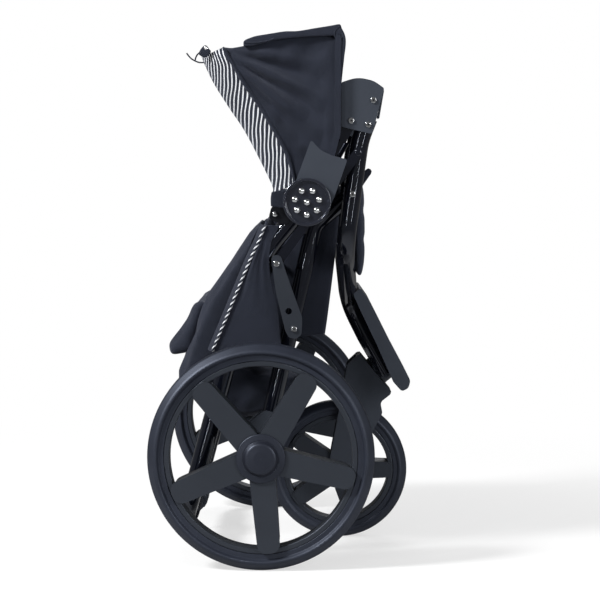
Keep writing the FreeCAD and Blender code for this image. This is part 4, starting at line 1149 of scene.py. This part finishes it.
def build_stage():
    """Pale floor that fades into the backdrop, soft light and the camera."""
    made, tree, shader = new_material("Matt paper backdrop", (0.92, 0.92, 0.92), 0.9)
    shader.inputs["Specular IOR Level"].default_value = 0.1
    glow = add_node(tree, "ShaderNodeEmission", None, Color=(1, 1, 1, 1),
                    Strength=by_ray(tree, *FLOOR_GLOW))
    spot = add_node(tree, "ShaderNodeNewGeometry")
    away = add_node(tree, "ShaderNodeVectorMath", {"operation": "LENGTH"}, Vector=spot.outputs["Position"])
    fade = add_node(tree, "ShaderNodeMapRange", {"interpolation_type": "SMOOTHSTEP"},
                    Value=away.outputs["Value"])
    for name, value in FLOOR_FADE:
        fade.inputs[name].default_value = value
    blend = add_node(tree, "ShaderNodeMixShader", None)
    tree.links.new(fade.outputs[0], blend.inputs[0])
    tree.links.new(shader.outputs[0], blend.inputs[1])
    tree.links.new(glow.outputs[0], blend.inputs[2])
    tree.links.new(blend.outputs[0], tree.nodes["Material Output"].inputs["Surface"])
    mesh = bpy.data.meshes.new("floor")
    corners = [(x * FLOOR_HALF, y * FLOOR_HALF, 0) for x, y in ((-1, -1), (1, -1), (1, 1), (-1, 1))]
    mesh.from_pydata(corners, [], [(0, 1, 2, 3)])
    mesh.materials.append(made)
    floor = bpy.data.objects.new("floor", mesh)
    bpy.context.scene.collection.objects.link(floor)
    world = bpy.data.worlds.new("Pale studio")
    bpy.context.scene.world = world
    world.use_nodes = True
    tree = world.node_tree
    back = tree.nodes["Background"]
    back.inputs["Color"].default_value = (1, 1, 1, 1)
    tree.links.new(by_ray(tree, *WORLD_GLOW), back.inputs["Strength"])
    low, high = cad_box
    centre = Vector([(a + b) / 2 for a, b in zip(low, high)])
    for name, place, width, height, power in LIGHTS:
        light = bpy.data.lights.new(name, "AREA")
        light.energy = power
        light.shape = "RECTANGLE"
        light.size = width
        light.size_y = height
        lamp = bpy.data.objects.new(name, light)
        lamp.location = place
        lamp.rotation_euler = (centre - Vector(place)).to_track_quat("-Z", "Y").to_euler()
        bpy.context.scene.collection.objects.link(lamp)
    camera = bpy.data.cameras.new("camera")
    camera.lens = hard().lens / MM
    camera.sensor_width = 36.0
    camera.clip_end = 50
    seat = bpy.data.objects.new("camera", camera)
    eye = at(*CAMERA_PLACE)
    aim = at(*CAMERA_AIM)
    seat.location = eye
    seat.rotation_euler = (aim - eye).to_track_quat("-Z", "Y").to_euler()
    bpy.context.scene.collection.objects.link(seat)
    bpy.context.scene.camera = seat
    bpy.context.scene.view_settings.view_transform = "Standard"


# ---- operators --------------------------------------------------------------


class STROLLER_OT_wheels(bpy.types.Operator):
    """Finish the tyres, rims and hub caps"""

    bl_idname = "stroller.wheels"
    bl_label = "Wheels"

    def execute(self, context):
        dress_wheels()
        return {"FINISHED"}


class STROLLER_OT_frame(bpy.types.Operator):
    """Finish the tubes, mouldings, screws and grip"""

    bl_idname = "stroller.frame"
    bl_label = "Frame"

    def execute(self, context):
        dress_frame()
        dress_screws()
        return {"FINISHED"}


class STROLLER_OT_hood(bpy.types.Operator):
    """Sew the hood, its binding, flap and elastic"""

    bl_idname = "stroller.hood"
    bl_label = "Hood"

    def execute(self, context):
        build_hood()
        build_binding()
        build_ear()
        build_flap()
        build_cord()
        return {"FINISHED"}


class STROLLER_OT_back(bpy.types.Operator):
    """Sew the backrest, its piping, pocket flap and lower half"""

    bl_idname = "stroller.back"
    bl_label = "Backrest"

    def execute(self, context):
        build_backrest()
        build_back_flap()
        build_lower_back()
        return {"FINISHED"}


class STROLLER_OT_seat(bpy.types.Operator):
    """Sew the seat, the calf panel and its tie straps"""

    bl_idname = "stroller.seat"
    bl_label = "Seat"

    def execute(self, context):
        build_seat()
        build_skirt()
        build_basket()
        build_calf_panel()
        build_straps()
        return {"FINISHED"}


class STROLLER_OT_stage(bpy.types.Operator):
    """Lay the floor, hang the lights and place the camera"""

    bl_idname = "stroller.stage"
    bl_label = "Stage"

    def execute(self, context):
        build_stage()
        return {"FINISHED"}


OPERATORS = (STROLLER_OT_stage, STROLLER_OT_wheels, STROLLER_OT_frame, STROLLER_OT_hood, STROLLER_OT_back,
             STROLLER_OT_seat)


class STROLLER_PT_panel(bpy.types.Panel):
    """Sizes, colours and steps of the stroller"""

    bl_idname = "STROLLER_PT_panel"
    bl_label = "Stroller"
    bl_space_type = "VIEW_3D"
    bl_region_type = "UI"
    bl_category = "Stroller"

    def draw(self, context):
        layout = self.layout
        for group in (context.scene.stroller_fabric, context.scene.stroller_frame):
            for name in group.__annotations__:
                layout.prop(group, name)
        for operator in OPERATORS:
            layout.operator(operator.bl_idname)


CLASSES = (StrollerFabric, StrollerFrame) + OPERATORS + (STROLLER_PT_panel,)


def register():
    for item in CLASSES:
        bpy.utils.register_class(item)
    bpy.types.Scene.stroller_fabric = PointerProperty(type=StrollerFabric)
    bpy.types.Scene.stroller_frame = PointerProperty(type=StrollerFrame)


def unregister():
    del bpy.types.Scene.stroller_frame
    del bpy.types.Scene.stroller_fabric
    for item in reversed(CLASSES):
        bpy.utils.unregister_class(item)


def main():
    register()
    for operator in OPERATORS:
        group, name = operator.bl_idname.split(".")
        getattr(getattr(bpy.ops, group), name)()


if __name__ == "__main__":
    main()
